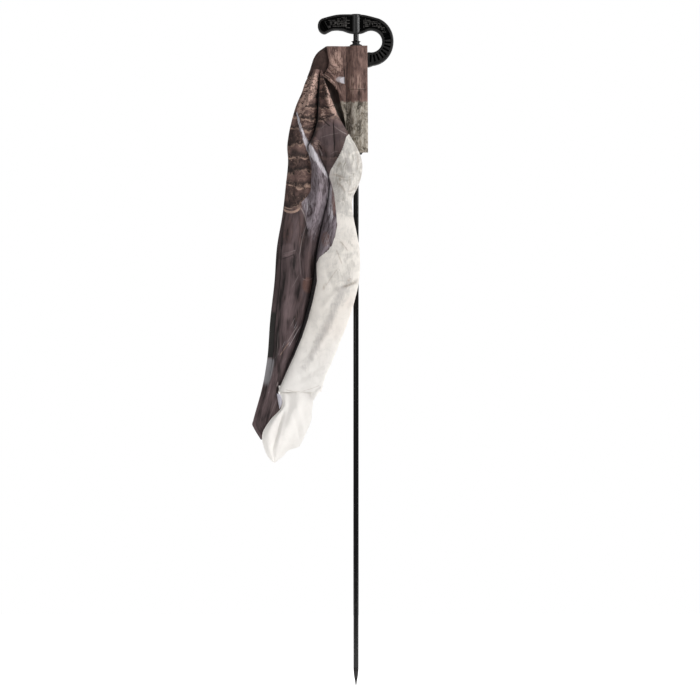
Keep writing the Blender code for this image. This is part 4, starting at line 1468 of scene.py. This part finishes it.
FIRST_CREST = [
    (46.0, -71.0, -9.0), (64.0, -77.0, -17.0), (82.0, -82.0, -21.0), (105.0, -87.0, -23.0),
    (132.0, -92.0, -24.0), (159.0, -99.0, -22.0), (180.0, -105.0, -20.0), (203.0, -103.0, -19.0),
    (248.0, -104.0, -19.0), (301.0, -112.0, -18.0), (360.0, -119.0, -19.0), (417.0, -124.0, -19.0),
    (489.0, -134.0, -18.0), (564.0, -146.0, -17.0), (617.0, -158.0, -16.0), (675.5, -171.0, -14.0),
    (704.0, -167.0, -13.0),
]
FIRST_VALLEY = [
    (46.0, -63.5, -3.0), (64.0, -66.0, 0.5), (82.0, -67.0, 2.0), (105.0, -68.0, 2.0),
    (132.0, -69.0, 1.0), (159.0, -76.0, -3.0), (180.0, -86.0, -9.0), (203.0, -83.0, -11.0),
    (225.0, -79.5, -12.0), (248.0, -82.0, -14.0), (301.0, -91.0, -15.5), (360.0, -97.0, -14.5),
    (417.0, -104.0, -14.5), (489.0, -120.0, -14.5), (564.0, -140.0, -14.5), (617.0, -153.0, -14.0),
    (675.5, -168.0, -13.0), (704.0, -166.5, -13.0),
]
COVERT_CREST = [
    (46.0, -63.0, -5.0), (64.0, -63.0, -9.0), (82.0, -62.0, -13.0), (105.0, -62.0, -17.0),
    (132.0, -62.5, -19.0), (159.0, -70.0, -20.0), (180.0, -78.0, -22.0), (203.0, -72.0, -26.0),
    (225.0, -67.0, -28.0), (248.0, -66.0, -28.0), (275.0, -69.0, -26.0), (301.0, -73.0, -23.0),
    (360.0, -83.0, -19.5), (417.0, -90.0, -18.0), (453.0, -97.0, -17.5), (489.0, -106.0, -17.0),
    (564.0, -133.0, -16.0), (617.0, -148.0, -14.5), (675.5, -166.0, -13.0), (704.0, -166.0, -13.0),
]
SECOND_VALLEY = [
    (46.0, -62.5, -5.5), (64.0, -60.5, -10.0), (82.0, -58.0, -15.0), (105.0, -56.0, -19.0),
    (132.0, -55.0, -21.0), (159.0, -62.0, -19.0), (180.0, -68.0, -14.0), (203.0, -62.0, -15.0),
    (225.0, -52.0, -15.0), (248.0, -47.0, -13.0), (275.0, -50.0, -9.0), (301.0, -57.0, -6.0),
    (332.0, -64.0, -4.0), (360.0, -69.0, -3.0), (417.0, -76.0, -3.0), (453.0, -83.0, -4.0),
    (489.0, -92.0, -5.0), (525.0, -103.0, -6.0), (564.0, -119.0, -8.0), (606.0, -136.0, -9.5),
    (617.0, -138.5, -10.0), (632.0, -131.0, -10.5), (648.0, -132.0, -11.0), (667.0, -143.0, -11.0),
    (685.0, -155.0, -11.5), (704.0, -165.0, -12.0),
]
STRIP_CREST = [
    (46.0, -62.0, -6.0), (64.0, -58.0, -12.0), (82.0, -54.0, -20.0), (105.0, -49.0, -25.0),
    (132.0, -45.0, -28.0), (159.0, -43.0, -28.0), (180.0, -47.0, -26.0), (203.0, -46.0, -25.0),
    (225.0, -42.0, -24.0), (248.0, -39.5, -24.0), (275.0, -40.0, -25.0), (301.0, -42.5, -26.0),
    (332.0, -48.0, -26.5), (360.0, -58.0, -26.0), (385.0, -66.5, -25.0), (417.0, -69.5, -24.0),
    (453.0, -75.0, -23.0), (489.0, -85.0, -22.0), (525.0, -98.0, -20.5), (564.0, -113.0, -19.0),
    (592.0, -125.0, -18.0), (617.0, -137.5, -17.0),
]
BELLY_CREST = [
    (46.0, -61.5, -6.0), (64.0, -57.0, -12.5), (82.0, -51.5, -20.0), (105.0, -45.0, -25.0),
    (132.0, -36.0, -29.0), (159.0, -26.0, -31.0), (180.0, -21.0, -32.5), (203.0, -16.0, -33.5),
    (225.0, -13.0, -33.0), (248.0, -14.5, -31.0), (275.0, -21.0, -27.0), (301.0, -21.5, -25.0),
    (332.0, -21.0, -27.0), (360.0, -23.0, -29.0), (417.0, -29.0, -29.0), (453.0, -36.0, -28.0),
    (489.0, -46.0, -26.0), (564.0, -79.0, -22.0), (617.0, -100.0, -19.0),
]
TURN = [
    (46.0, -61.0, -5.5), (64.0, -56.0, -11.0), (82.0, -48.5, -15.0), (105.0, -40.5, -17.0),
    (132.0, -28.5, -19.0), (159.0, -12.5, -21.0), (180.0, 0.0, -21.0), (203.0, 9.4, -20.0),
    (225.0, 10.5, -19.5), (248.0, 4.6, -18.5), (275.0, -7.0, -18.0), (301.0, -5.5, -18.0),
    (332.0, 0.4, -18.0), (360.0, 5.4, -18.0), (385.0, 6.6, -18.0), (417.0, 5.2, -18.0),
    (453.0, -2.6, -17.5), (489.0, -13.6, -17.0), (525.0, -27.6, -16.5), (564.0, -43.5, -16.0),
    (592.0, -55.5, -15.5), (617.0, -62.5, -15.0),
]
RETURN = [
    (46.0, -61.5, -4.5), (64.0, -58.0, -7.5), (82.0, -52.0, -9.0), (105.0, -45.0, -10.0),
    (132.0, -34.0, -10.5), (159.0, -20.0, -10.5), (180.0, -14.0, -14.5), (203.0, -8.0, -15.0),
    (225.0, -6.0, -14.0), (248.0, -10.0, -12.0), (275.0, -20.0, -11.0), (332.0, -12.0, -10.5),
    (385.0, -8.0, -10.5), (453.0, -18.0, -10.5), (525.0, -42.0, -10.5), (617.0, -76.0, -10.5),
]
WING_LINES = [
    LEADING,
    HEM_CREASE,
    FIRST_CREST,
    FIRST_VALLEY,
    COVERT_CREST,
    SECOND_VALLEY,
    STRIP_CREST,
    BELLY_CREST,
    TURN,
    RETURN,
]
WING_SOFTNESS = [1.0, 0.75, 1.0, 0.35, 0.9, 0.4, 0.8, 1.0, 0.85, 1.0]
TIP_LANE = 5
CREASE_DROP = 617.0
TIP_DROP = 703.0

# The line between brown and white, as (drop, x)
WHITE_BRINK = [
    (146.0, -4.0), (156.0, -11.0), (164.0, -17.5), (176.0, -21.0), (188.0, -25.0), (198.0, -30.0),
    (211.0, -38.0), (224.0, -46.0), (234.0, -47.5), (248.0, -43.0), (267.0, -38.5), (294.0, -35.5),
    (320.0, -33.5), (340.0, -37.0), (355.0, -42.0), (366.0, -50.0), (378.0, -65.0), (388.0, -70.2),
    (421.0, -69.2), (454.0, -76.2), (487.0, -85.0), (519.0, -95.7), (552.0, -109.6), (585.0, -125.0),
    (606.0, -134.0), (617.0, -138.5),
]
# The covert band's edges, as (drop, x)
COVERT_LEFT = [
    (116.0, -106.5), (135.0, -103.5), (151.0, -101.0), (163.0, -96.0), (178.0, -91.0), (193.0, -85.5),
    (209.0, -80.0), (223.0, -79.0), (258.0, -80.0), (271.0, -88.0), (280.0, -97.0), (291.0, -96.0),
    (304.0, -89.5), (333.0, -86.0), (360.0, -84.0),
]
COVERT_RIGHT = [
    (116.0, -105.0), (135.0, -99.0), (151.0, -95.0), (164.0, -89.0), (175.0, -80.0), (192.0, -70.0),
    (206.0, -62.0), (219.0, -54.0), (239.0, -45.0), (262.0, -38.0), (300.0, -33.0), (345.0, -37.0),
    (372.0, -56.0),
]
# The grey shadow down the belly, as (drop, x)
BELLY_SHADOW_LINE = [
    (396.0, -8.0), (417.0, -13.0), (453.0, -33.0), (481.0, -43.0), (524.0, -65.0), (560.0, -82.0),
    (590.0, -104.0),
]
# Drops at which a row of feather tips ends, from the shoulder to the wing tip
FEATHER_ROWS = [48, 60, 72, 84, 98, 114, 132, 150, 181, 205, 226, 250, 294, 372, 436, 530, 620, 760]


def at_drop(line, drops):
    line = np.array(line)
    return np.interp(drops, line[:, 0], line[:, 1])


def wing_masks(grid, lanes):
    """Where each kind of feather is printed, and where shade, highlights and sheen are painted, from the fold
    lanes and the place seen from the front.
    """
    drops = SLEEVE_TOP - grid[:, :, 2]
    x = grid[:, :, 0]
    lane = np.broadcast_to(lanes, drops.shape)
    change = soft_step(drops, 372.0, 392.0)
    above = soft_step(drops, 139.0, 149.0) * soft_step(lane, 4.6, 4.9)
    white = soft_step(x - at_drop(WHITE_BRINK, drops), -1.4, 1.4) * above
    blur = np.interp(drops, [116, 150, 200, 400], [1.2, 1.6, 3.0, 3.0])
    band = np.clip((x - at_drop(COVERT_LEFT, drops)) / blur + 0.5, 0, 1)
    band *= np.clip((at_drop(COVERT_RIGHT, drops) - x) / blur + 0.5, 0, 1)
    band *= soft_step(drops, 114.0, 122.0) * (lane < 6.5)
    band *= 1 - soft_step(drops, 286.0, 374.0) * (1 - soft_step(lane, 4.8, 5.2) * 0.8)
    band *= 1 - change
    # Frost print on the covert band, with painted highlights on the covert and strip crests
    frost_and_highlight = np.maximum.reduce(
        [
            spot(grid, -80.0, 188.0, 8.0, 28.0, 0.55) * 1.1,
            spot(grid, -60.0, 220.0, 5.0, 20.0, 0.6),
            spot(grid, -100.0, 140.0, 3.0, 34.0, 0.33),
            spot(grid, -86.0, 286.0, 9.0, 12.0) * 0.5,
            spot(grid, -62.0, 300.0, 7.0, 18.0) * 0.3,
            spot(grid, -44.0, 278.0, 9.0, 34.0) * 0.8,
            spot(grid, -50.0, 345.0, 8.0, 18.0) * 0.5,
        ]
    )
    column = np.zeros_like(drops)
    column[:, 1:] = np.cumsum(np.linalg.norm(np.diff(grid[:, :, :2], axis=1), axis=2), axis=1)
    row = np.interp(drops, FEATHER_ROWS, np.arange(len(FEATHER_ROWS)))
    height = np.interp(drops, FEATHER_ROWS[:-1], np.diff(FEATHER_ROWS))
    width = np.clip(height * 1.4, 16.0, 32.0)
    feather = np.stack([column / width, row, np.zeros_like(row)], axis=2)
    tan = np.interp(drops, [46, 120, 250, 285, 300, 380, 700], [1.0, 0.9, 1.0, 1.0, 0.1, 0.1, 0.1])
    tan = tan * (1 - 0.55 * soft_step(lane, 3.6, 4.4) * soft_step(drops, 118.0, 150.0))
    primary = soft_step(drops, 286.0, 298.0)
    primary = np.maximum(primary, soft_step(lane, 3.6, 4.4) * soft_step(drops, 128.0, 150.0) * 0.6)
    # Painted shade down the first and second valleys and the hem crease, and a darker strip beside the leading
    # edge
    valley = np.array(FIRST_VALLEY)
    first_valley_shade = np.exp(-(((x - np.interp(drops, valley[:, 0], valley[:, 1])) / 2.4) ** 2))
    first_valley_shade *= np.interp(drops, [52, 62, 160, 185, 200], [0.6, 1.0, 1.0, 0.7, 0.3])
    second = np.array(SECOND_VALLEY)
    cleft = np.exp(-(((x - np.interp(drops, second[:, 0], second[:, 1])) / 2.4) ** 2))
    cleft *= np.interp(drops, [150, 175, 240, 330, 420, 560, 600], [0.0, 0.6, 0.7, 0.9, 1.0, 0.8, 0.0])
    cleft = np.maximum(cleft, soft_step(lane, 4.7, 5.2) * change * np.interp(drops, [540, 600], [0.95, 0.0]))
    hem = np.exp(-(((lane - 1.0) / 0.14) ** 2)) * np.interp(drops, [300, 350, 560, 610], [0.0, 0.9, 0.9, 0.2])
    band_dark = 1 - soft_step(lane, 0.85, 1.15)
    band_dark *= np.interp(drops, [292, 312, 450, 500], [0.0, 0.5, 0.5, 0.0])
    cleft = np.maximum.reduce([cleft, hem, band_dark])
    # Painted shade down the belly
    smoke = np.exp(-(((x - at_drop(BELLY_SHADOW_LINE, drops)) / 11.0) ** 2))
    smoke *= np.interp(drops, [400, 430, 560, 600], [0.2, 0.8, 0.7, 0.1])
    high, low = 1 - soft_step(lane, 0.9, 1.3), 1 - soft_step(lane, 1.5, 2.9)
    return {
        "white": white,
        "covert": band,
        "frost_and_highlight": frost_and_highlight,
        "tan": tan,
        "primary": primary,
        "feather": feather,
        "dark": np.clip(np.maximum.reduce([first_valley_shade, cleft, drawn(grid, BROAD_DARK_PRINT_AND_SHADE)]) * (1 - white), 0, 1),
        "pale": drawn(grid, BROAD_PALE),
        # Painted shade along the belly's creases
        "crease": drawn(grid, BROAD_BELLY_CREASE_SHADE),
        "smoke": np.maximum(smoke, spot(grid, -16.0, 205.0, 5.0, 28.0, 0.3) * 0.7),
        "dapple": np.maximum.reduce(
            [
                spot(grid, -80.0, 76.0, 13.0, 27.0, -0.3),
                spot(grid, -94.0, 106.0, 9.0, 22.0, -0.3) * 0.9,
                spot(grid, -44.0, 108.0, 6.0, 22.0, 0.4) * 0.75,
                spot(grid, -51.0, 74.0, 3.5, 18.0, 0.2) * 0.8,
                spot(grid, -58.0, 128.0, 6.0, 14.0) * 0.6,
                spot(grid, -68.0, 177.0, 7.0, 9.0) * 0.85,
            ]
        ),
        "bars": np.maximum(
            spot(grid, -83.0, 128.0, 14.0, 30.0, -0.1),
            spot(grid, -56.0, 120.0, 12.0, 20.0) * 0.8,
        ),
        "shafts": np.maximum(
            spot(grid, -112.0, 525.0, 20.0, 34.0, -0.6),
            spot(grid, -86.0, 330.0, 12.0, 30.0) * 0.5,
        ),
        "rust": np.maximum.reduce(
            [
                spot(grid, -85.0, 427.0, 12.0, 16.0),
                spot(grid, -39.0, 270.0, 5.0, 36.0) * 1.1,
                spot(grid, -54.0, 345.0, 9.0, 16.0) * 0.8,
                spot(grid, -84.0, 396.0, 10.0, 40.0) * 0.45,
                spot(grid, -122.0, 326.0, 12.0, 36.0) * 0.5,
                spot(grid, -98.0, 330.0, 8.0, 40.0) * 0.5,
                spot(grid, -100.0, 470.0, 12.0, 34.0) * 0.4,
            ]
        ),
        "olive": high * soft_step(drops, 450.0, 500.0) * (1 - soft_step(drops, 549.0, 562.0)),
        "grey": low * soft_step(drops, 550.0, 566.0) * (1 - soft_step(drops, 584.0, 626.0)),
        "snow": soft_step(drops, 470.0, 600.0),
        "warm": spot(grid, -28.0, 490.0, 26.0, 60.0, -0.6) * 0.45,
        "marble": np.clip(
            spot(grid, -14.0, 225.0, 34.0, 76.0)
            + spot(grid, -20.0, 278.0, 24.0, 30.0) * 0.5
            + spot(grid, -24.0, 390.0, 40.0, 84.0) * 0.45
            + spot(grid, -60.0, 530.0, 50.0, 90.0) * 0.2
            + 0.08,
            0,
            1,
        ),
        "tufts": np.maximum(
            spot(grid, -18.0, 232.0, 32.0, 46.0) * 0.95,
            spot(grid, -14.0, 380.0, 30.0, 50.0) * 0.5,
        ),
        # Painted sheen on the dark feathers
        "lilac": np.maximum.reduce(
            [
                spot(grid, -116.0, 466.0, 15.0, 26.0, -0.15),
                spot(grid, -121.0, 366.0, 15.0, 15.0) * 0.9,
                spot(grid, -52.0, 350.0, 12.0, 20.0) * 0.3,
                spot(grid, -42.0, 162.0, 26.0, 36.0) * 0.95,
                spot(grid, -64.0, 150.0, 9.0, 18.0) * 0.5,
                spot(grid, -112.0, 320.0, 10.0, 40.0) * 0.45,
                spot(grid, -120.0, 530.0, 12.0, 22.0, -0.6) * 0.5,
            ]
        ),
    }


def crease_wing(grid):
    """The small creases that cross the wing's long folds."""
    for start, end, width, height in (
        # shoulder and middle ridge
        ((-86.0, 70.0), (-70.0, 88.0), 3.0, 1.6),
        ((-92.0, 96.0), (-72.0, 112.0), 3.5, -1.6),
        ((-96.0, 118.0), (-74.0, 138.0), 4.0, 1.5),
        ((-41.0, 132.0), (-38.0, 182.0), 1.8, -2.6),
        ((-54.0, 127.0), (-42.0, 142.0), 2.2, -2.2),
        ((-66.0, 178.0), (-60.0, 190.0), 2.8, -3.2),
        ((-50.0, 96.0), (-44.0, 122.0), 2.4, 1.4),
        ((-30.0, 150.0), (-24.0, 205.0), 5.0, 1.4),
        # belly
        ((-16.0, 252.0), (6.0, 240.0), 4.0, -1.8),
        ((-34.0, 282.0), (-10.0, 270.0), 4.0, 1.6),
        ((-26.0, 428.0), (4.0, 415.0), 2.0, -2.4),
        ((-30.0, 436.0), (2.0, 424.0), 2.4, 1.4),
        ((-60.0, 470.0), (-28.0, 430.0), 5.0, 1.3),
        ((-52.0, 402.0), (-40.0, 440.0), 4.0, -1.2),
        ((-84.0, 560.0), (-40.0, 500.0), 6.0, 1.2),
        ((-110.0, 600.0), (-64.0, 575.0), 5.0, -1.0),
        # primaries
        ((-132.0, 374.0), (-112.0, 366.0), 2.6, 1.8),
        ((-134.0, 382.0), (-108.0, 373.0), 1.6, -1.4),
        ((-132.0, 470.0), (-118.0, 470.0), 12.0, 2.2),
        ((-140.0, 536.0), (-140.0, 585.0), 1.4, -1.8),
        ((-131.0, 480.0), (-121.0, 560.0), 4.0, 1.4),
        ((-92.0, 430.0), (-82.0, 452.0), 3.0, 1.6),
        ((-150.0, 600.0), (-142.0, 650.0), 5.0, 1.0),
    ):
        ridge(grid, start, end, width, height)


def gather_top(grid):
    """Lifts the rolled top of the wing into an arch between the leading edge and the gather."""
    drops = SLEEVE_TOP - grid[:, :, 2]
    arch = np.clip(1 - ((grid[:, :, 0] + 70.0) / 13.0) ** 2, 0, 1)
    grid[:, :, 2] += 4.0 * arch * (1 - soft_step(drops, 46.0, 84.0))
    grid[:, :, 1] -= 2.5 * arch * (1 - soft_step(drops, 46.0, 56.0))


def trim(grid, lanes):
    """Keeps the dark lanes down to the wing tip, and ends the white ones at the cross crease."""
    drops = SLEEVE_TOP - grid[:-1, :-1, 2]
    return (drops < CREASE_DROP - 1.0) | (lanes[None, :-1] < TIP_LANE)


def make_wing(material):
    drops = np.arange(46.0, TIP_DROP, ROW_STEP)
    below_tip = TIP_DROP + 1.0
    lines = [line if line[-1][0] > TIP_DROP else line + [(below_tip, *line[-1][1:])] for line in WING_LINES]
    grid, lanes = loft(lines, drops, LANE_STEPS, WING_SOFTNESS)
    crease_wing(grid)
    gather_top(grid)
    rumple(grid, 22.0, 1.6, 5.0, stretch=1.8)
    rumple(grid, 8.0, 0.5, 9.0, stretch=1.5)
    masks = wing_masks(grid, lanes)
    keep = trim(grid, lanes)
    split = int(np.searchsorted(drops, SPLIT_DROP))
    upper = slice(0, split + 1)
    lower = slice(split, len(drops))

    def part(name, rows):
        chosen = {key: value[rows] for key, value in masks.items()}
        return cloth_piece(name, grid[rows], material, chosen, keep[rows.start : rows.stop - 1])

    root = part("wing_cloth_root", upper)
    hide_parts("wing_panel_inner", "leading_hem_inner")
    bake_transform(root)
    outer = part("wing_cloth_outer", lower)
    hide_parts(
        "wing_panel_outer",
        "leading_hem_outer",
        "middle_seam_inner",
        "middle_seam_outer",
        "belly_panel_inner",
        "belly_panel_outer",
        "trailing_hem_inner",
        "trailing_hem_outer",
        "wing_tip",
    )
    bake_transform(outer)


def make_web(material):
    """The cloth that dips back between the wing's middle ridge and the root patch."""
    back = [(d, x - 0.4, 0.6) for d, x in ROOT_EDGE if d > 48]
    valley = [(50.0, -60.0, 0.0), (64.0, -54.0, 1.5), (82.0, -46.0, 3.0), (105.0, -38.0, 4.0)]
    valley += [(132.0, -28.0, 3.0), (159.0, -20.0, -1.5), (SLEEVE_LENGTH, -15.5, -5.0)]
    front = [point for point in RETURN if 46.0 < point[0] < 210.0]
    drops = np.arange(50.0, SLEEVE_LENGTH + 4.0, ROW_STEP)
    grid, _ = loft([front, valley, back], drops, 12)
    rumple(grid, 14.0, 0.8, 6.0)
    masks = root_masks(grid, shade=np.full(grid.shape[:2], 0.86))
    web = cloth_piece("wing_web", grid, material, masks)
    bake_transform(web)


def make_gather_roll(material):
    """The lit roll of cloth that leaves the gather along the root patch's lower edge."""
    route = [
        (-63.0, -8.0, 49.0), (-54.0, -9.5, 54.5), (-45.0, -9.0, 62.0), (-37.5, -7.0, 69.5),
        (-34.0, -4.0, 77.0),
    ]
    path = spline(route, 8)
    sides = 14
    grid = np.zeros((len(path), sides + 1, 3))
    for index, (x, y, drop) in enumerate(path):
        share = index / (len(path) - 1)
        radius = 0.9 + 1.7 * math.sin(math.pi * min(share * 0.75 + 0.12, 1.0))
        for side in range(sides + 1):
            angle = math.pi * (0.12 + 1.55 * side / sides)
            across = math.cos(angle) * radius
            depth = y + 2.0 - math.sin(angle) * radius
            grid[index, side] = (x + across * 0.62, depth, SLEEVE_TOP - drop + across * 0.78)
    rumple(grid, 6.0, 0.5, 2.0)
    masks = root_masks(grid, light=np.full(grid.shape[:2], 0.9))
    roll = cloth_piece("gather_roll", grid, material, masks)
    finish_piece(roll, "sleeve", "brown_cloth")


TAIL_LEFT = [
    (606.0, -138.0, -13.0), (618.0, -136.0, -16.0), (630.0, -131.0, -17.0), (641.0, -130.0, -17.0),
    (652.0, -138.0, -15.5), (664.0, -150.0, -15.0), (675.0, -158.0, -15.0), (687.0, -165.0, -15.0),
    (701.0, -167.0, -15.0), (717.0, -163.0, -15.0), (730.0, -158.0, -15.0), (739.0, -151.0, -15.0),
    (743.0, -146.5, -15.0),
]
TAIL_LEFT_CREST = [
    (606.0, -132.0, -15.0), (630.0, -127.0, -20.0), (641.0, -126.0, -20.0), (664.0, -143.0, -19.5),
    (687.0, -154.0, -20.0), (717.0, -154.0, -19.0), (743.0, -146.0, -16.0),
]
TAIL_VALLEY = [
    (606.0, -121.0, -15.0), (630.0, -119.0, -18.8), (664.0, -132.0, -17.6), (687.0, -140.0, -17.4),
    (717.0, -147.0, -16.5), (743.0, -145.5, -15.0),
]
TAIL_CREST = [
    (606.0, -104.0, -15.0), (630.0, -103.0, -21.0), (664.0, -116.0, -22.0), (687.0, -128.0, -21.0),
    (717.0, -139.0, -18.0), (743.0, -145.0, -15.0),
]
TAIL_DIP = [
    (606.0, -92.0, -14.0), (630.0, -90.0, -18.0), (664.0, -96.0, -17.5), (687.0, -107.0, -17.0),
    (717.0, -127.0, -16.0), (743.0, -144.5, -15.0),
]
TAIL_RIGHT = [
    (606.0, -80.0, -13.0), (620.0, -78.0, -15.0), (640.0, -77.0, -15.0), (652.0, -79.0, -15.0),
    (665.0, -79.5, -15.0), (678.0, -83.5, -15.0), (697.0, -92.0, -15.0), (709.0, -98.0, -15.0),
    (716.0, -104.0, -15.0), (720.0, -117.0, -15.0), (731.0, -129.0, -15.0), (743.0, -144.0, -15.0),
]


def make_tail(material):
    """The white end of the wing, which comes out from under the cross crease and points down."""
    drops = np.append(np.arange(606.0, 742.5, 1.5), 742.8)
    lines = [TAIL_LEFT, TAIL_LEFT_CREST, TAIL_VALLEY, TAIL_CREST, TAIL_DIP, TAIL_RIGHT]
    grid, _ = loft(lines, drops, 11)
    for start, end, width, height in (
        ((-130.0, 655.0), (-150.0, 725.0), 2.2, -1.4),
        ((-122.0, 640.0), (-142.0, 720.0), 3.0, 1.2),
        ((-104.0, 640.0), (-92.0, 690.0), 4.0, 1.2),
        ((-112.0, 655.0), (-100.0, 700.0), 3.0, -1.0),
        ((-140.0, 700.0), (-112.0, 712.0), 4.0, -0.8),
    ):
        ridge(grid, start, end, width, height)
    rumple(grid, 20.0, 1.0, 12.0)
    grid[:, :, 1] += 0.15 * (grid[:, :, 0] + 115.0) * soft_step(SLEEVE_TOP - grid[:, :, 2], 614.0, 650.0)
    marble = np.full(grid.shape[:2], 0.1)
    masks = white_masks(grid, rust=spot(grid, -146.0, 741.0, 3.0, 3.0), marble=marble)
    tail = cloth_piece("tail_cloth", grid, material, masks)
    finish_piece(tail, "wing_outer", "white_cloth", "tail_panel")


def make_tip_folds(material, lining):
    """The turned corner where the white end leaves the crease, and the pale fold beside the dark tip."""
    edge = [(-81.0, -17.0, 614.0), (-77.0, -18.0, 634.0), (-61.5, -17.0, 611.0), (-60.0, -16.0, 607.0)]
    tip = [(-141.0, -15.5, 620.0), (-134.5, -17.0, 622.0), (-131.0, -16.5, 636.0), (-136.0, -14.5, 648.0)]
    for name, outline, white in (("edge_fold", edge, 1.0), ("tip_fold", tip, 0.0)):
        a, b, c, d = (np.array(point) for point in outline)
        steps = np.linspace(0, 1, 13)
        grid = np.zeros((13, 13, 3))
        for row, s in enumerate(steps):
            for column, t in enumerate(steps):
                point = (a * (1 - t) + d * t) * (1 - s) + (b * (1 - t) + c * t) * s
                bow = 1.6 * math.sin(math.pi * s) * math.sin(math.pi * t)
                grid[row, column] = (point[0], point[1] - bow, SLEEVE_TOP - point[2])
        # Painted shade: the turned white corner is greyed a little
        masks = white_masks(grid, smoke=np.full(grid.shape[:2], 1.2 - white))
        piece = cloth_piece(name, grid, material if white else lining, masks)
        finish_piece(piece, "wing_outer", "white_cloth")


# Stage


def make_stage():
    near, far, side = -700.0, 1400.0, 2000.0
    corners = [(-side, near, -0.6), (side, near, -0.6), (side, far, -0.6), (-side, far, -0.6)]
    floor = add_piece("floor", corners, [(0, 1, 2, 3)], None)
    made = Finish("pale_floor", roughness=0.9, specular=0.1)
    cloud = made.noise(made.object_place(), 0.8, detail=2.0)
    made.colour(made.mix(paint(250, 250, 250), paint(255, 255, 255), cloud))
    made.shader.inputs["Emission Color"].default_value = (1, 1, 1, 1)
    made.shader.inputs["Emission Strength"].default_value = 1.0
    floor.data.materials.append(made.material)

    world = bpy.data.worlds.new("studio")
    bpy.context.scene.world = world
    world.use_nodes = True
    nodes, links = world.node_tree.nodes, world.node_tree.links
    seen = nodes.new("ShaderNodeBackground")
    seen.inputs["Strength"].default_value = 1.0
    seen.inputs["Color"].default_value = (1, 1, 1, 1)
    lighting = nodes["Background"]
    lighting.inputs["Color"].default_value = (1, 1, 1, 1)
    lighting.inputs["Strength"].default_value = 0.22
    choice = nodes.new("ShaderNodeMixShader")
    links.new(nodes.new("ShaderNodeLightPath").outputs["Is Camera Ray"], choice.inputs[0])
    links.new(lighting.outputs[0], choice.inputs[1])
    links.new(seen.outputs[0], choice.inputs[2])
    links.new(choice.outputs[0], nodes["World Output"].inputs["Surface"])


def add_light(name, location, target, width, height, power):
    light = bpy.data.lights.new(name, "AREA")
    light.shape = "RECTANGLE"
    light.size, light.size_y = width, height
    light.energy = power
    made = bpy.data.objects.new(name, light)
    made.location = location
    made.rotation_euler = (Vector(target) - Vector(location)).to_track_quat("-Z", "Y").to_euler()
    bpy.context.scene.collection.objects.link(made)


def make_lights():
    middle = (0.0, 0.0, 0.8)
    add_light("right_softbox", (1.7, -1.5, 1.9), middle, 0.9, 0.9, 29)
    add_light("right_strip", (1.5, -0.35, 1.3), (0.0, 0.0, 1.18), 0.4, 0.7, 7)
    add_light("left_fill", (-1.6, -2.6, 1.2), middle, 1.2, 1.2, 9)


def make_camera():
    """A long lens, level with the middle of the object, square to its front."""
    data = bpy.data.cameras.new("camera")
    data.lens = 150
    data.sensor_width = 36
    field = TOP * MM * 1250 / 1200
    camera = bpy.data.objects.new("camera", data)
    camera.location = (-0.0107, -field * data.lens / data.sensor_width, TOP * MM / 2 + 0.0005)
    camera.rotation_euler = (math.pi / 2, 0, 0)
    bpy.context.scene.collection.objects.link(camera)
    bpy.context.scene.camera = camera
    bpy.context.scene.view_settings.view_transform = "Standard"


def main():
    nylon = nylon_finish("moulded_nylon", paint(20, 20, 20), paint(52, 50, 49), 0.4, 0.00005, 0.35)
    # Lighter nylon for the grip's raised blocks, a painted highlight
    highlit_nylon = nylon_finish("nylon_painted_highlight", paint(40, 38, 37), paint(96, 93, 90), 0.4, 0.00004, 0.35)
    # Near-black nylon for the recessed floors, as painted shade
    shaded_recess = nylon_finish("nylon_recess_painted_shade", paint(2, 2, 2), paint(7, 7, 7), 0.8, 0.00008, 0.05)
    smooth = nylon_finish("nylon_smooth", paint(8, 8, 8), paint(18, 17, 17), 0.4, 0.00001, 0.65)
    steel, dark_steel = bare_steel_finish(), dark_steel_finish()
    coating, bushing, tube = coating_finish(), bushing_finish(), tube_finish()
    root_print, wing_print = pocket_finish(), wing_finish()
    dark_cloth = plain_cloth_finish("shoulder_cloth_dye", paint(52, 38, 35), paint(86, 66, 60))
    lining = plain_cloth_finish("lining_dye", paint(196, 193, 206), paint(226, 223, 232))
    light_thread = thread_finish("light_thread", paint(205, 190, 176))
    dark_thread = thread_finish("dark_thread", paint(74, 58, 54))

    make_handle(nylon, highlit_nylon, shaded_recess, smooth)
    make_pole(coating)
    make_spike(steel)
    make_pin(dark_steel)
    make_push_nut("top_push_nut", "upper_push_nut", dark_steel)
    make_push_nut("bottom_push_nut", "lower_push_nut", dark_steel)
    make_washer("top_washer", "upper_thrust_washer", bushing)
    make_washer("bottom_washer", "lower_thrust_washer", bushing)
    make_bushing("top_bushing", "upper_bushing", SLEEVE_TOP, 1, bushing)
    make_bushing("bottom_bushing", "lower_bushing", SLEEVE_BOTTOM, -1, bushing)
    tube_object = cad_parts["sleeve_tube"]
    tube_object.data.materials.clear()
    tube_object.data.materials.append(tube)

    make_pocket(root_print)
    make_pocket_fold(root_print)
    make_root_patch(root_print)
    make_shoulder(dark_cloth, dark_thread)
    make_root_seams(light_thread, dark_thread)
    make_wing(wing_print)
    make_web(root_print)
    make_gather_roll(root_print)
    make_tail(wing_print)
    make_tip_folds(wing_print, lining)

    make_stage()
    make_lights()
    make_camera()


main()
